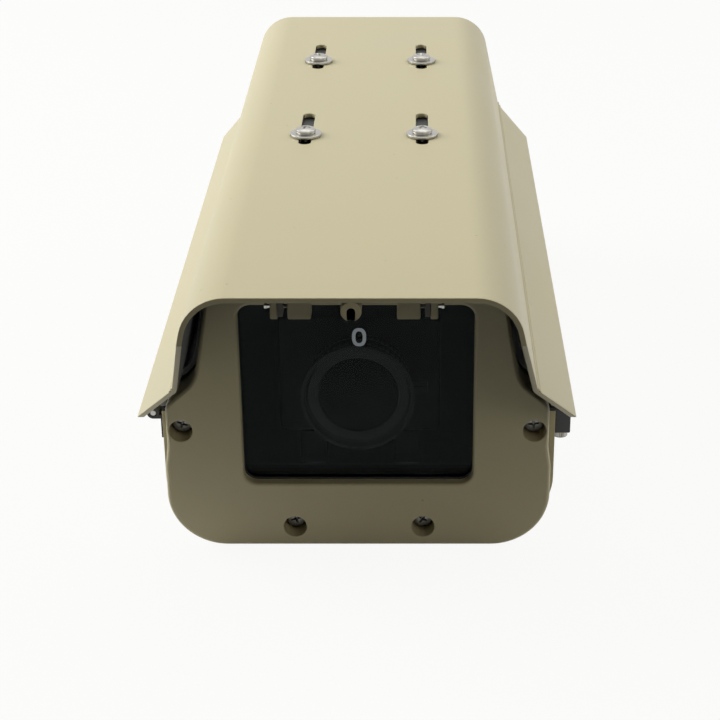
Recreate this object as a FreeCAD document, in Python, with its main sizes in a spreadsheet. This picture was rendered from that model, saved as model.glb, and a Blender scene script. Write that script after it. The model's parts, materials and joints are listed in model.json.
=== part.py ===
import FreeCAD, Part
import math
import os
import Sketcher

os.makedirs("parts", exist_ok=True)

# Outdoor security camera housing, in millimetres. The front window faces -Y and +Z is up.
# The origin is the middle of the four mounting holes, on the underside of the lower trough.
SIZES = {
    # Lower trough
    "base_length": 250.0,
    "base_half_width": 67.5,
    "base_height": 46.0,
    "base_corner_radius": 20.0,
    "base_wall": 2.5,
    "mount_pitch_across": 40.0,
    "mount_pitch_along": 80.0,
    "mount_hole_radius": 3.3,
    "mount_pad_margin": 10.0,
    "mount_pad_thickness": 2.5,
    "screw_port_radius": 4.2,
    "upper_screw_inset": 8.0,
    "upper_screw_drop": 0.8,
    "lower_screw_spread": 22.0,
    "lower_screw_height": 8.0,
    "rail_width": 6.0,
    "rail_thickness": 2.0,
    "rail_bottom": 14.5,
    # Front and rear plates
    "plate_thickness": 12.0,
    "rear_plate_thickness": 10.0,
    "plate_bottom": 0.5,
    "plate_side_inset": 2.1,
    "plate_ease_drop": 14.5,
    "plate_ease_height": 7.0,
    "plate_ease_depth": 1.0,
    "shoulder_rise": 8.3,
    "shoulder_radius": 5.0,
    "neck_margin": 15.1,
    "neck_rise": 9.2,
    "neck_radius": 12.0,
    "plate_corner_margin": 9.5,
    "plate_top_margin": 7.4,
    "plate_top_radius": 9.0,
    "plate_edge_radius": 1.5,
    "plate_front_wall": 4.0,
    "end_gasket_thickness": 1.5,
    "end_gasket_inset": 0.5,
    "end_gasket_width": 4.0,
    # Window
    "window_half_width": 38.9,
    "window_bottom": 24.9,
    "window_top": 91.1,
    "window_radius": 4.5,
    "window_bevel": 0.7,
    "glass_overlap": 2.1,
    "glass_thickness": 4.0,
    "window_gasket_thickness": 1.0,
    "rebate_margin": 6.6,
    "rebate_height_margin": 4.6,
    "retainer_thickness": 1.5,
    "retainer_screw_offset": 4.4,
    "retainer_screw_radius": 1.2,
    "retainer_head_radius": 1.8,
    "retainer_head_height": 1.2,
    "retainer_screw_inset": 5.0,
    # Plate screws
    "screw_radius": 2.0,
    "screw_head_radius": 3.4,
    "screw_head_height": 3.0,
    "counterbore_radius": 3.9,
    "counterbore_depth": 8.5,
    "rear_counterbore_depth": 5.0,
    "screw_length": 24.0,
    "recess_width": 1.0,
    "recess_depth": 1.4,
    # Cable glands
    "gland_spread": 24.0,
    "gland_height": 36.0,
    "gland_thread_radius": 7.9,
    "gland_hex_flats": 22.0,
    "gland_flange_length": 5.0,
    "gland_neck_length": 6.5,
    "gland_cap_length": 13.0,
    "gland_cap_mouth_radius": 5.5,
    "gland_seal_bore": 3.5,
    "gland_wall": 1.6,
    "locknut_thickness": 4.0,
    # Lid
    "lid_gap": 1.5,
    "lid_gasket_thickness": 1.2,
    "lid_proud_neck": 1.5,
    "lid_proud_shoulder": 1.6,
    "lid_proud_corner": 1.7,
    "lid_proud_top": 1.0,
    "lid_wall": 2.0,
    "lid_end_clearance": 0.3,
    # Hinges
    "hinge_inset": 24.0,
    "hinge_length": 40.0,
    "hinge_drop": 3.0,
    "hinge_leaf": 1.2,
    "knuckle_radius": 2.2,
    "knuckle_length": 12.0,
    "knuckle_web_gap": 0.73,
    "pin_radius": 1.2,
    "pin_clearance": 0.05,
    "side_clearance": 0.3,
    "base_leaf_height": 9.5,
    "lid_leaf_drop": 1.1,
    "rivet_radius": 1.2,
    "rivet_head_radius": 1.9,
    "rivet_head_height": 0.9,
    "rivet_spread": 12.0,
    "base_rivet_margin": 3.1,
    "lid_rivet_margin": 2.4,
    # Lid screws and their lugs
    "lug_inset": 11.0,
    "lug_length": 16.0,
    "lug_depth": 5.6,
    "base_lug_height": 10.0,
    "lid_lug_height": 2.7,
    "lug_screw_reach": 2.8,
    "lug_screw_clearance": 0.35,
    "knob_radius": 2.6,
    "knob_height": 5.0,
    # Sunshield
    "shield_overhang": 40.0,
    "shield_rear_overhang": 15.0,
    "shield_air_gap": 10.0,
    "shield_wall": 1.8,
    "shield_corner_radius": 15.0,
    "shield_corner_inset": 0.1,
    "crease_gap": 3.5,
    "crease_rise": 3.9,
    "crease_radius": 3.0,
    "bead_radius": 0.5,
    "bead_rise": 0.7,
    "flare_overhang": 5.3,
    "flare_drop": 1.8,
    "rake_drop": 16.2,
    "rake_step": 1.2,
    "rake_depth": 37.5,
    "channel_radius": 3.2,
    "channel_bore": 0.95,
    "channel_slot": 1.85,
    "channel_drop": 6.0,
    # Rails between lid and sunshield
    "shield_rail_spread": 22.0,
    "shield_rail_width": 10.0,
    "shield_rail_wall": 1.8,
    "shield_rail_setback": 55.0,
    "shield_rail_rear_setback": 15.0,
    "slide_strip_thickness": 1.0,
    "slide_clearance": 0.3,
    "shield_screw_setback": 46.0,
    "shield_screw_spacing": 100.0,
    "shield_screw_radius": 2.0,
    "shield_screw_head_radius": 3.8,
    "shield_screw_head_height": 2.4,
    "shield_washer_radius": 6.0,
    "shield_washer_thickness": 1.0,
    "slide_forward": 25.0,
    # Stop brackets at the front of the sunshield
    "stop_setback": 24.5,
    "stop_depth": 6.0,
    "stop_height": 16.3,
    "stop_block_start": 13.6,
    "stop_block_width": 7.45,
    "stop_strip_gap": 3.15,
    "stop_post_width": 2.45,
    "stop_top_flange": 2.5,
    "stop_buffer_thickness": 1.7,
    "stop_buffer_proud": 1.2,
    "stop_screw_rise": 3.5,
    "stop_screw_radius": 0.7,
    "stop_screw_head_radius": 0.9,
    "stop_screw_reach": 2.2,
    # Camera, tray and lens
    "tray_lead": 1.5,
    "tray_thickness": 2.0,
    "tray_edge_clearance": 0.8,
    "tray_slot_width": 7.0,
    "tray_slot_length": 70.0,
    "tray_travel": 40.0,
    "camera_length": 105.0,
    "camera_half_width": 28.0,
    "camera_height": 43.5,
    "camera_edge_radius": 2.5,
    "riser_half_width": 21.0,
    "riser_leg_width": 9.0,
    "riser_length": 80.0,
    "riser_height": 12.7,
    "riser_plate": 2.0,
    "camera_screw_radius": 3.1,
    "camera_screw_setback": 30.5,
    "camera_screw_bite": 5.0,
    "camera_knob_radius": 8.0,
    "camera_knob_height": 4.5,
    "lens_height": 20.7,
    "lens_window_gap": 2.8,
    "lens_core_radius": 15.0,
    "lens_bore_radius": 13.9,
    "lens_mount_radius": 16.5,
    "lens_mount_length": 2.0,
    "focus_ring_radius": 17.8,
    "focus_ring_length": 4.2,
    "zoom_ring_radius": 17.8,
    "zoom_ring_length": 4.2,
    "ring_clearance": 0.05,
    "ring_gap": 0.3,
    "lens_rim_radius": 19.5,
    "lens_rim_wall": 1.2,
    "lens_rim_length": 4.9,
    "lens_name_ring_depth": 2.7,
    "lens_dome_height": 2.4,
    "lens_glass_thickness": 2.0,
    "lens_glass_clearance": 0.1,
    "lens_knob_radius": 1.3,
    "lens_knob_length": 6.0,
    # Terminal block
    "terminal_inset": 19.0,
    "terminal_length": 34.0,
    "terminal_depth": 12.0,
    "terminal_height": 10.0,
    "terminal_count": 4,
}


class Size:
    """A number together with the spreadsheet expression that gives it."""

    def __init__(self, value, text):
        self.value = value
        self.text = text

    def join(self, other, sign, value):
        return Size(value, "(%s %s %s)" % (self.text, sign, as_size(other).text))

    def __add__(self, other):
        return self.join(other, "+", self.value + number(other))

    def __sub__(self, other):
        return self.join(other, "-", self.value - number(other))

    def __mul__(self, other):
        return self.join(other, "*", self.value * number(other))

    def __truediv__(self, other):
        return self.join(other, "/", self.value / number(other))

    def __neg__(self):
        return Size(-self.value, "(0 - %s)" % self.text)


def number(item):
    return item.value if isinstance(item, Size) else float(item)


def as_size(item):
    return item if isinstance(item, Size) else Size(float(item), repr(float(item)))


class Sheet:
    """The driving dimensions, one attribute for each alias of the spreadsheet."""

    def __init__(self, document):
        cells = document.addObject("Spreadsheet::Sheet", "sizes")
        for row, (name, value) in enumerate(SIZES.items(), start=1):
            cells.set("A%d" % row, name)
            cells.set("B%d" % row, str(value))
            cells.setAlias("B%d" % row, name)
            setattr(self, name, Size(float(value), "sizes." + name))


doc = FreeCAD.newDocument("SecurityCameraHousing")
Vector = FreeCAD.Vector
s = Sheet(doc)
doc.recompute()
nodes = {}

# Places worked out from the driving dimensions, along the housing
base_end = s.base_length / 2
plate_back = -(base_end + s.end_gasket_thickness)
plate_face = plate_back - s.plate_thickness
rear_plate_front = base_end + s.end_gasket_thickness
rear_plate_face = rear_plate_front + s.rear_plate_thickness
front_wall_back = plate_face + s.plate_front_wall
glass_front = front_wall_back + s.window_gasket_thickness
glass_back = glass_front + s.glass_thickness
retainer_back = glass_back + s.retainer_thickness
hinge_middle = base_end - s.hinge_inset
lug_middle = base_end - s.lug_inset
shield_front = plate_face - s.shield_overhang
shield_back = rear_plate_face + s.shield_rear_overhang
shield_length = shield_back - shield_front
rail_front = s.shield_rail_setback - base_end
rail_back = base_end - s.shield_rail_rear_setback
shield_screw_rows = (rail_front + s.shield_screw_setback,
                     rail_front + s.shield_screw_setback + s.shield_screw_spacing)
stop_front = shield_front + s.stop_setback
stop_back = stop_front + s.stop_depth
slide_back = plate_face - s.side_clearance - stop_back - s.stop_buffer_proud
terminal_middle = base_end - s.terminal_inset

# The lens stands just behind the glass, and the camera and its tray follow it
lens_front = glass_back + s.lens_window_gap
rim_back = lens_front + s.lens_rim_length
zoom_back = rim_back + s.ring_gap + s.zoom_ring_length
focus_back = zoom_back + s.ring_gap + s.focus_ring_length
camera_front = focus_back + s.ring_gap + s.lens_mount_length
camera_screw_middle = camera_front + s.camera_screw_setback
tray_front = camera_front - s.tray_lead
tray_back = terminal_middle - s.terminal_depth / 2 - s.tray_travel

# Heights
shoulder_height = s.base_height + s.shoulder_rise
neck_height = shoulder_height + s.neck_rise
plate_ease_low = s.base_height - s.plate_ease_drop
plate_ease_high = plate_ease_low + s.plate_ease_height
plate_top = s.window_top + s.plate_top_margin
lid_bottom = s.base_height + s.lid_gap
lid_neck_height = neck_height + s.lid_proud_shoulder
lid_top = plate_top + s.lid_proud_top
shield_under = lid_top + s.shield_air_gap
shield_top = shield_under + s.shield_wall
crease_height = lid_neck_height + s.crease_rise
rake_top = shield_top - s.rake_drop
flare_bottom = shoulder_height - s.flare_drop
hinge_axis_z = s.base_height - s.hinge_drop
base_leaf_bottom = hinge_axis_z - s.base_leaf_height
lid_leaf_top = shoulder_height - s.lid_leaf_drop
tray_top = s.rail_bottom + s.rail_thickness + s.side_clearance + s.tray_thickness
camera_bottom = tray_top + s.riser_height
camera_top = camera_bottom + s.camera_height
lens_axis_z = camera_bottom + s.lens_height
stop_bottom = shield_under - s.stop_height
stop_screw_z = stop_bottom + s.stop_screw_rise

# Widths, as half widths or distances from the middle plane
plate_half_width = s.base_half_width - s.plate_side_inset
plate_waist_half_width = plate_half_width - s.plate_ease_depth
neck_half_width = s.window_half_width + s.neck_margin
plate_top_half_width = s.window_half_width + s.plate_corner_margin
lid_half_width = s.base_half_width + s.side_clearance
lid_neck_half_width = neck_half_width + s.lid_proud_neck
lid_top_half_width = plate_top_half_width + s.lid_proud_corner
shield_corner_half_width = lid_top_half_width - s.shield_corner_inset
crease_half_width = lid_neck_half_width + s.crease_gap
flare_half_width = lid_half_width + s.flare_overhang
upper_screw_x = s.base_half_width - s.upper_screw_inset
hinge_axis_x = -(s.base_half_width + s.hinge_leaf + s.side_clearance + s.knuckle_radius)
lug_axis_x = s.base_half_width + s.lug_depth / 2
stop_block_end = s.stop_block_start + s.stop_block_width
stop_post_start = stop_block_end + s.stop_strip_gap
stop_post_end = stop_post_start + s.stop_post_width

# A cross recess reaches this share of its screw head's radius
RECESS_SHARE = 0.62
# Slot ends are rounded a little short of a half circle, so that the end's straight side never vanishes
SLOT_ROUNDING = 0.98
# Edges this close to a plane lie in it
PLANE_TOLERANCE = 1e-4
AROUND_X = Vector(1, 0, 0)
AROUND_Y = Vector(0, 1, 0)


def bind(target, path, amount):
    target.setExpression(path, as_size(amount).text)


def place(target, x, y, z, axis=None, angle=0):
    """Put an object at bound coordinates, turned about one axis."""
    turn = FreeCAD.Rotation(axis, angle) if axis else FreeCAD.Rotation()
    target.Placement = FreeCAD.Placement(Vector(number(x), number(y), number(z)), turn)
    for letter, amount in (("x", x), ("y", y), ("z", z)):
        bind(target, "Placement.Base." + letter, amount)
    return target


def node(name, target):
    """Make an object one of the housing's pieces, under the piece's own name."""
    target.Label = name
    nodes[name] = target
    return target


def box(name, x0, x1, y0, y1, z0, z1):
    """A block between bound faces."""
    block = doc.addObject("Part::Box", name)
    spans = (("Length", x0, x1), ("Width", y0, y1), ("Height", z0, z1))
    for side, low, high in spans:
        bind(block, side, as_size(high) - low)
    return place(block, x0, y0, z0)


def cylinder(name, radius, length, x, y, z, axis=None, angle=0):
    """A round bar that starts at a bound point; unturned it runs up along Z."""
    bar = doc.addObject("Part::Cylinder", name)
    bind(bar, "Radius", radius)
    bind(bar, "Height", length)
    return place(bar, x, y, z, axis, angle)


def bar_along_y(name, radius, x, z, y0, y1):
    return cylinder(name, radius, as_size(y1) - y0, x, y0, z, AROUND_X, -90)


def bar_along_x(name, radius, y, z, x0, x1):
    return cylinder(name, radius, as_size(x1) - x0, x0, y, z, AROUND_Y, 90)


def fuse(name, pieces):
    joined = doc.addObject("Part::MultiFuse", name)
    joined.Shapes = pieces
    joined.Refine = True
    return joined


def group(name, pieces):
    """Several like solids that stay separate and share one node."""
    heap = doc.addObject("Part::Compound", name)
    heap.Links = pieces
    return heap


def cut(name, base, tools):
    result = doc.addObject("Part::Cut", name)
    result.Base = base
    result.Tool = tools[0] if len(tools) == 1 else group(name + "_tools", tools)
    return result


def hexagon_bar(name, flats, length, x, y, z):
    """A six-sided bar along +Y, its size given across the flats."""
    prism = doc.addObject("Part::Prism", name)
    prism.Polygon = 6
    bind(prism, "Circumradius", as_size(flats) / math.sqrt(3))
    bind(prism, "Height", length)
    return place(prism, x, y, z, AROUND_X, -90)


# Sketched outlines
def new_body(name):
    return doc.addObject("PartDesign::Body", name)


def sketch_on(body, name, role, offset):
    """A sketch on one of the body's own planes, moved along the plane's normal."""
    sketch = body.newObject("Sketcher::SketchObject", name)
    plane = [item for item in body.Origin.OriginFeatures if item.Role == role][0]
    sketch.AttachmentSupport = [(plane, "")]
    sketch.MapMode = "FlatFace"
    bind(sketch, "AttachmentOffset.Base.z", offset)
    return sketch


def sketch_across(body, name, y):
    """A sketch seen from the front; its plane's normal is -Y, so the offset is turned round."""
    return sketch_on(body, name, "XZ_Plane", -as_size(y))


class Rules:
    """Collects a sketch's constraints and the sizes that drive them."""

    def __init__(self, sketch):
        self.sketch = sketch
        self.items = []
        self.drives = []

    def add(self, *arguments, drive=None):
        if drive is not None:
            self.drives.append((len(self.items), drive))
        self.items.append(Sketcher.Constraint(*arguments))

    def fix_point(self, element, end, x, y):
        for kind, amount, axis in (("DistanceX", x, -2), ("DistanceY", y, -1)):
            if number(amount) == 0:
                self.add("PointOnObject", element, end, axis)
            else:
                self.add(kind, -1, 1, element, end, number(amount), drive=amount)

    def apply(self):
        numbers = self.sketch.addConstraint(self.items)
        for index, amount in self.drives:
            bind(self.sketch, "Constraints[%d]" % numbers[index], amount)


def corner_arc(before, corner, after, radius):
    """The two ends, middle and sense of the arc that rounds a corner."""
    back = (before - corner).normalize()
    ahead = (after - corner).normalize()
    half = back.getAngle(ahead) / 2
    reach = radius / math.tan(half)
    middle = corner + (back + ahead).normalize() * (radius / math.sin(half))
    return corner + back * reach, corner + ahead * reach, middle, ahead.cross(back).z > 0


def outline(sketch, corners):
    """A closed outline of straight sides through (x, y, radius) corners, rounded where radius isn't 0."""
    rules = Rules(sketch)
    points = [Vector(number(x), number(y), 0) for x, y, radius in corners]
    count = len(corners)
    rounds = []
    for i, (x, y, radius) in enumerate(corners):
        if number(radius) == 0:
            rounds.append((points[i], points[i], None, None))
        else:
            rounds.append(corner_arc(points[i - 1], points[i], points[(i + 1) % count], number(radius)))
    sides = []
    for i in range(count):
        side = Part.LineSegment(rounds[i][1], rounds[(i + 1) % count][0])
        sides.append(sketch.addGeometry(side, False))
    for i, (x, y, radius) in enumerate(corners):
        before, after = sides[i - 1], sides[i]
        start, finish, middle, leftward = rounds[i]
        if middle is None:
            rules.add("Coincident", before, 2, after, 1)
            rules.fix_point(after, 1, x, y)
            continue
        first, last = (start, finish) if leftward else (finish, start)
        angles = [math.atan2(end.y - middle.y, end.x - middle.x) for end in (first, last)]
        if angles[1] < angles[0]:
            angles[1] += 2 * math.pi
        circle = Part.Circle(middle, Vector(0, 0, 1), number(radius))
        arc = sketch.addGeometry(Part.ArcOfCircle(circle, *angles), False)
        start_end, finish_end = (1, 2) if leftward else (2, 1)
        rules.add("Tangent", before, 2, arc, start_end)
        rules.add("Tangent", arc, finish_end, after, 1)
        rules.add("Radius", arc, number(radius), drive=radius)
        corner = sketch.addGeometry(Part.Point(points[i]), True)
        rules.add("PointOnObject", corner, 1, before)
        rules.add("PointOnObject", corner, 1, after)
        rules.fix_point(corner, 1, x, y)
    rules.apply()


def rectangle(sketch, x0, x1, y0, y1, radius=0):
    outline(sketch, [(x0, y0, radius), (x1, y0, radius), (x1, y1, radius), (x0, y1, radius)])


def circles(sketch, radius, centres):
    rules = Rules(sketch)
    for x, y in centres:
        circle = Part.Circle(Vector(number(x), number(y), 0), Vector(0, 0, 1), number(radius))
        element = sketch.addGeometry(circle, False)
        rules.add("Radius", element, number(radius), drive=radius)
        rules.fix_point(element, 3, x, y)
    rules.apply()


def both_sides(half):
    """A symmetric outline from the corners of its right half, listed upwards."""
    return half + [(-as_size(x), y, radius) for x, y, radius in reversed(half)]


def pad(body, sketch, length, reverse=True):
    feature = body.newObject("PartDesign::Pad", sketch.Name + "_pad")
    feature.Profile = sketch
    bind(feature, "Length", length)
    feature.Reversed = reverse
    sketch.Visibility = False
    return feature


def pocket(body, sketch, length, reverse=False):
    """Cut a sketch out of the body: towards +Y from a front-facing sketch, down from a level one."""
    doc.recompute()
    before = body.Shape.Volume
    feature = body.newObject("PartDesign::Pocket", sketch.Name + "_pocket")
    feature.Profile = sketch
    bind(feature, "Length", length)
    feature.Reversed = reverse
    doc.recompute()
    if not body.Shape.Volume < before:
        raise RuntimeError("pocket cuts nothing: " + sketch.Name)
    return feature


def hollow(body, base, wall, open_faces):
    """Turn the padded outline into a wall of even thickness, open where open_faces says."""
    doc.recompute()
    names = []
    for index, face in enumerate(base.Shape.Faces, start=1):
        if open_faces(face.normalAt(0, 0)):
            names.append("Face%d" % index)
    shell = body.newObject("PartDesign::Thickness", body.Name + "_wall")
    shell.Base = (base, names)
    bind(shell, "Value", wall)
    shell.Reversed = True
    shell.Join = 1
    return shell


def edges_at(base, y, x_limit=None):
    """Names of the edges that lie in one front-facing plane, all of them or only those near the middle."""
    doc.recompute()
    names = []
    for index, edge in enumerate(base.Shape.Edges, start=1):
        bounds = edge.BoundBox
        furthest = max(abs(bounds.YMin - number(y)), abs(bounds.YMax - number(y)))
        flat = furthest < PLANE_TOLERANCE
        if flat and (x_limit is None or max(abs(bounds.XMin), abs(bounds.XMax)) < x_limit):
            names.append("Edge%d" % index)
    return names


def plate_outline(inset=0):
    """Outline shared by both end plates and their gaskets, drawn in by an even amount."""
    inset = as_size(inset)
    half = [
        (plate_half_width - inset, s.plate_bottom + inset, s.base_corner_radius - inset),
        (plate_half_width - inset, plate_ease_low, s.neck_radius),
        (plate_waist_half_width - inset, plate_ease_high, s.neck_radius),
        (plate_waist_half_width - inset, shoulder_height - inset / 2, s.shoulder_radius),
        (neck_half_width - inset, neck_height - inset / 2, s.neck_radius),
        (plate_top_half_width - inset, plate_top - inset, s.plate_top_radius - inset / 2),
    ]
    return both_sides(half)


def lid_outline():
    return both_sides([
        (lid_half_width, lid_bottom, 0),
        (lid_half_width, shoulder_height, s.shoulder_radius),
        (lid_neck_half_width, lid_neck_height, s.neck_radius),
        (lid_top_half_width, lid_top, s.plate_top_radius),
    ])


def plate_screw_places():
    return [
        (-upper_screw_x, s.base_height - s.upper_screw_drop),
        (upper_screw_x, s.base_height - s.upper_screw_drop),
        (-s.lower_screw_spread, s.lower_screw_height),
        (s.lower_screw_spread, s.lower_screw_height),
    ]


def screw(name, head_radius, head_height, shank_radius, shank_length, slots=2):
    """A screw with its head below the origin and its shank up along +Z, with a cross or one slot."""
    head = cylinder(name + "_head", head_radius, head_height, 0, 0, -as_size(head_height))
    shank = cylinder(name + "_shank", shank_radius, shank_length, 0, 0, 0)
    solid = fuse(name + "_solid", [head, shank])
    arm = as_size(head_radius) * RECESS_SHARE
    half = s.recess_width / 2
    low = -as_size(head_height) - s.recess_depth
    high = -as_size(head_height) + s.recess_depth
    tools = [box(name + "_slot_a", -arm, arm, -half, half, low, high)]
    if slots == 2:
        tools.append(box(name + "_slot_b", -half, half, -arm, arm, low, high))
    return cut(name + "_cut", solid, tools)


# Lower trough
def base_trough():
    body = new_body("base_trough")
    sketch = sketch_across(body, "trough_outline", -base_end)
    outline(sketch, both_sides([
        (s.base_half_width, 0, s.base_corner_radius),
        (s.base_half_width, s.base_height, 0),
    ]))
    solid = pad(body, sketch, s.base_length)
    hollow(body, solid, s.base_wall, lambda normal: round(abs(normal.y)) == 1 or round(normal.z) == 1)
    wall_x = s.base_half_width - s.base_wall / 2
    rail_x = s.base_half_width - s.base_wall - s.rail_width
    upper_rail = tray_top + s.side_clearance
    for side in (-1, 1):
        for name, low in (("lower", s.rail_bottom), ("upper", upper_rail)):
            sketch = sketch_across(body, "tray_rail_%s_%d" % (name, side + 1), -base_end)
            low_x, high_x = (rail_x, wall_x) if side > 0 else (-wall_x, -rail_x)
            rectangle(sketch, low_x, high_x, low, low + s.rail_thickness)
            pad(body, sketch, s.base_length)
    sketch = sketch_across(body, "screw_ports", -base_end)
    circles(sketch, s.screw_port_radius, plate_screw_places())
    pad(body, sketch, s.base_length)
    for side in (-1, 1):
        sketch = sketch_across(body, "upper_web_%d" % (side + 1), -base_end)
        low_x, high_x = (upper_screw_x, wall_x) if side > 0 else (-wall_x, -upper_screw_x)
        rectangle(sketch, low_x, high_x, s.base_height - s.screw_port_radius, s.base_height)
        pad(body, sketch, s.base_length)
        sketch = sketch_across(body, "lower_web_%d" % (side + 1), -base_end)
        middle = s.lower_screw_spread * side
        half = s.screw_port_radius / 2
        rectangle(sketch, middle - half, middle + half, s.base_wall / 2, s.lower_screw_height)
        pad(body, sketch, s.base_length)
    pad_x = s.mount_pitch_across / 2 + s.mount_pad_margin
    pad_y = s.mount_pitch_along / 2 + s.mount_pad_margin
    sketch = sketch_on(body, "mount_pad", "XY_Plane", s.base_wall / 2)
    rectangle(sketch, -pad_x, pad_x, -pad_y, pad_y, s.mount_pad_margin / 2)
    pad(body, sketch, s.base_wall / 2 + s.mount_pad_thickness, reverse=False)
    sketch = sketch_across(body, "port_bores", -base_end)
    circles(sketch, s.screw_radius + s.pin_clearance, plate_screw_places())
    pocket(body, sketch, s.base_length)
    sketch = sketch_on(body, "mount_holes", "XY_Plane", 0)
    across, along = s.mount_pitch_across / 2, s.mount_pitch_along / 2
    circles(sketch, s.mount_hole_radius, [(across, along), (-across, along),
                                          (across, -along), (-across, -along)])
    pocket(body, sketch, s.base_wall + s.screw_port_radius * 2 + s.mount_pad_thickness, reverse=True)
    sketch = sketch_on(body, "hinge_holes", "YZ_Plane", -s.base_half_width)
    circles(sketch, s.rivet_radius, [(y, base_rivet_z()) for y in rivet_places()])
    pocket(body, sketch, s.base_wall * 2, reverse=True)
    return node("base_trough", body)


def rivet_places():
    places = []
    for middle in (-hinge_middle, hinge_middle):
        places += [middle - s.rivet_spread, middle + s.rivet_spread]
    return places


def base_rivet_z():
    return base_leaf_bottom + s.base_rivet_margin


def lid_rivet_z():
    return lid_leaf_top - s.lid_rivet_margin


# End plates
def front_plate():
    body = new_body("front_plate")
    sketch = sketch_across(body, "front_outline", plate_face)
    outline(sketch, plate_outline())
    solid = pad(body, sketch, s.plate_thickness)
    rounded = body.newObject("PartDesign::Fillet", "front_edge_round")
    rounded.Base = (solid, edges_at(solid, plate_face))
    bind(rounded, "Radius", s.plate_edge_radius)
    sketch = sketch_across(body, "front_rebate", plate_back)
    rebate_x = s.window_half_width + s.rebate_margin
    low, high = s.window_bottom - s.rebate_height_margin, s.window_top + s.rebate_height_margin
    rectangle(sketch, -rebate_x, rebate_x, low, high, s.window_radius)
    pocket(body, sketch, s.plate_thickness - s.plate_front_wall, reverse=True)
    sketch = sketch_across(body, "front_window", plate_face)
    rectangle(sketch, -s.window_half_width, s.window_half_width, s.window_bottom, s.window_top,
              s.window_radius)
    opening = pocket(body, sketch, s.plate_front_wall * 2)
    bevel = body.newObject("PartDesign::Chamfer", "window_bevel_edge")
    bevel.Base = (opening, edges_at(opening, plate_face, number(s.window_half_width + s.side_clearance)))
    bind(bevel, "Size", s.window_bevel)
    sketch = sketch_across(body, "front_counterbores", plate_face)
    circles(sketch, s.counterbore_radius, plate_screw_places())
    pocket(body, sketch, s.counterbore_depth)
    sketch = sketch_across(body, "front_screw_holes", plate_face)
    circles(sketch, s.screw_radius + s.side_clearance, plate_screw_places())
    pocket(body, sketch, s.plate_thickness)
    sketch = sketch_across(body, "retainer_holes", front_wall_back)
    circles(sketch, s.retainer_screw_radius, retainer_screw_places())
    pocket(body, sketch, s.plate_front_wall / 2, reverse=True)
    return node("front_plate", body)


def rear_plate():
    body = new_body("rear_plate")
    sketch = sketch_across(body, "rear_outline", rear_plate_front)
    outline(sketch, plate_outline())
    solid = pad(body, sketch, s.rear_plate_thickness)
    rounded = body.newObject("PartDesign::Fillet", "rear_edge_round")
    rounded.Base = (solid, edges_at(solid, rear_plate_face))
    bind(rounded, "Radius", s.plate_edge_radius)
    sketch = sketch_across(body, "rear_counterbores", rear_plate_face)
    circles(sketch, s.counterbore_radius, plate_screw_places())
    pocket(body, sketch, s.rear_counterbore_depth, reverse=True)
    sketch = sketch_across(body, "rear_screw_holes", rear_plate_face)
    circles(sketch, s.screw_radius + s.side_clearance, plate_screw_places())
    pocket(body, sketch, s.rear_plate_thickness, reverse=True)
    sketch = sketch_across(body, "gland_holes", rear_plate_face)
    circles(sketch, s.gland_thread_radius, [(-s.gland_spread, s.gland_height),
                                            (s.gland_spread, s.gland_height)])
    pocket(body, sketch, s.rear_plate_thickness, reverse=True)
    return node("rear_plate", body)


def end_gasket(name, y):
    """Flat ring between an end plate and the ends of trough and lid, with holes for the plate's screws."""
    body = new_body(name)
    sketch = sketch_across(body, name + "_outline", y)
    outline(sketch, plate_outline(s.end_gasket_inset))
    pad(body, sketch, s.end_gasket_thickness)
    sketch = sketch_across(body, name + "_inside", y)
    outline(sketch, plate_outline(s.end_gasket_inset + s.end_gasket_width))
    pocket(body, sketch, s.end_gasket_thickness)
    sketch = sketch_across(body, name + "_ears", y)
    circles(sketch, s.screw_port_radius, plate_screw_places())
    pad(body, sketch, s.end_gasket_thickness)
    sketch = sketch_across(body, name + "_holes", y)
    circles(sketch, s.screw_radius + s.side_clearance, plate_screw_places())
    pocket(body, sketch, s.end_gasket_thickness)
    return node(name, body)


def plate_screws(name, y, angle):
    """Four recessed screws that hold an end plate to the trough's ports."""
    screws = []
    for number_in_row, (x, z) in enumerate(plate_screw_places()):
        one = screw("%s_%d" % (name, number_in_row), s.screw_head_radius, s.screw_head_height,
                    s.screw_radius, s.screw_length)
        screws.append(place(one, x, y, z, AROUND_X, angle))
    return node(name, group(name, screws))


# Window
def retainer_screw_places():
    x = s.window_half_width + s.retainer_screw_offset
    low = s.window_bottom + s.retainer_screw_inset
    high = s.window_top - s.retainer_screw_inset
    return [(-x, low), (x, low), (-x, high), (x, high)]


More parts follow.
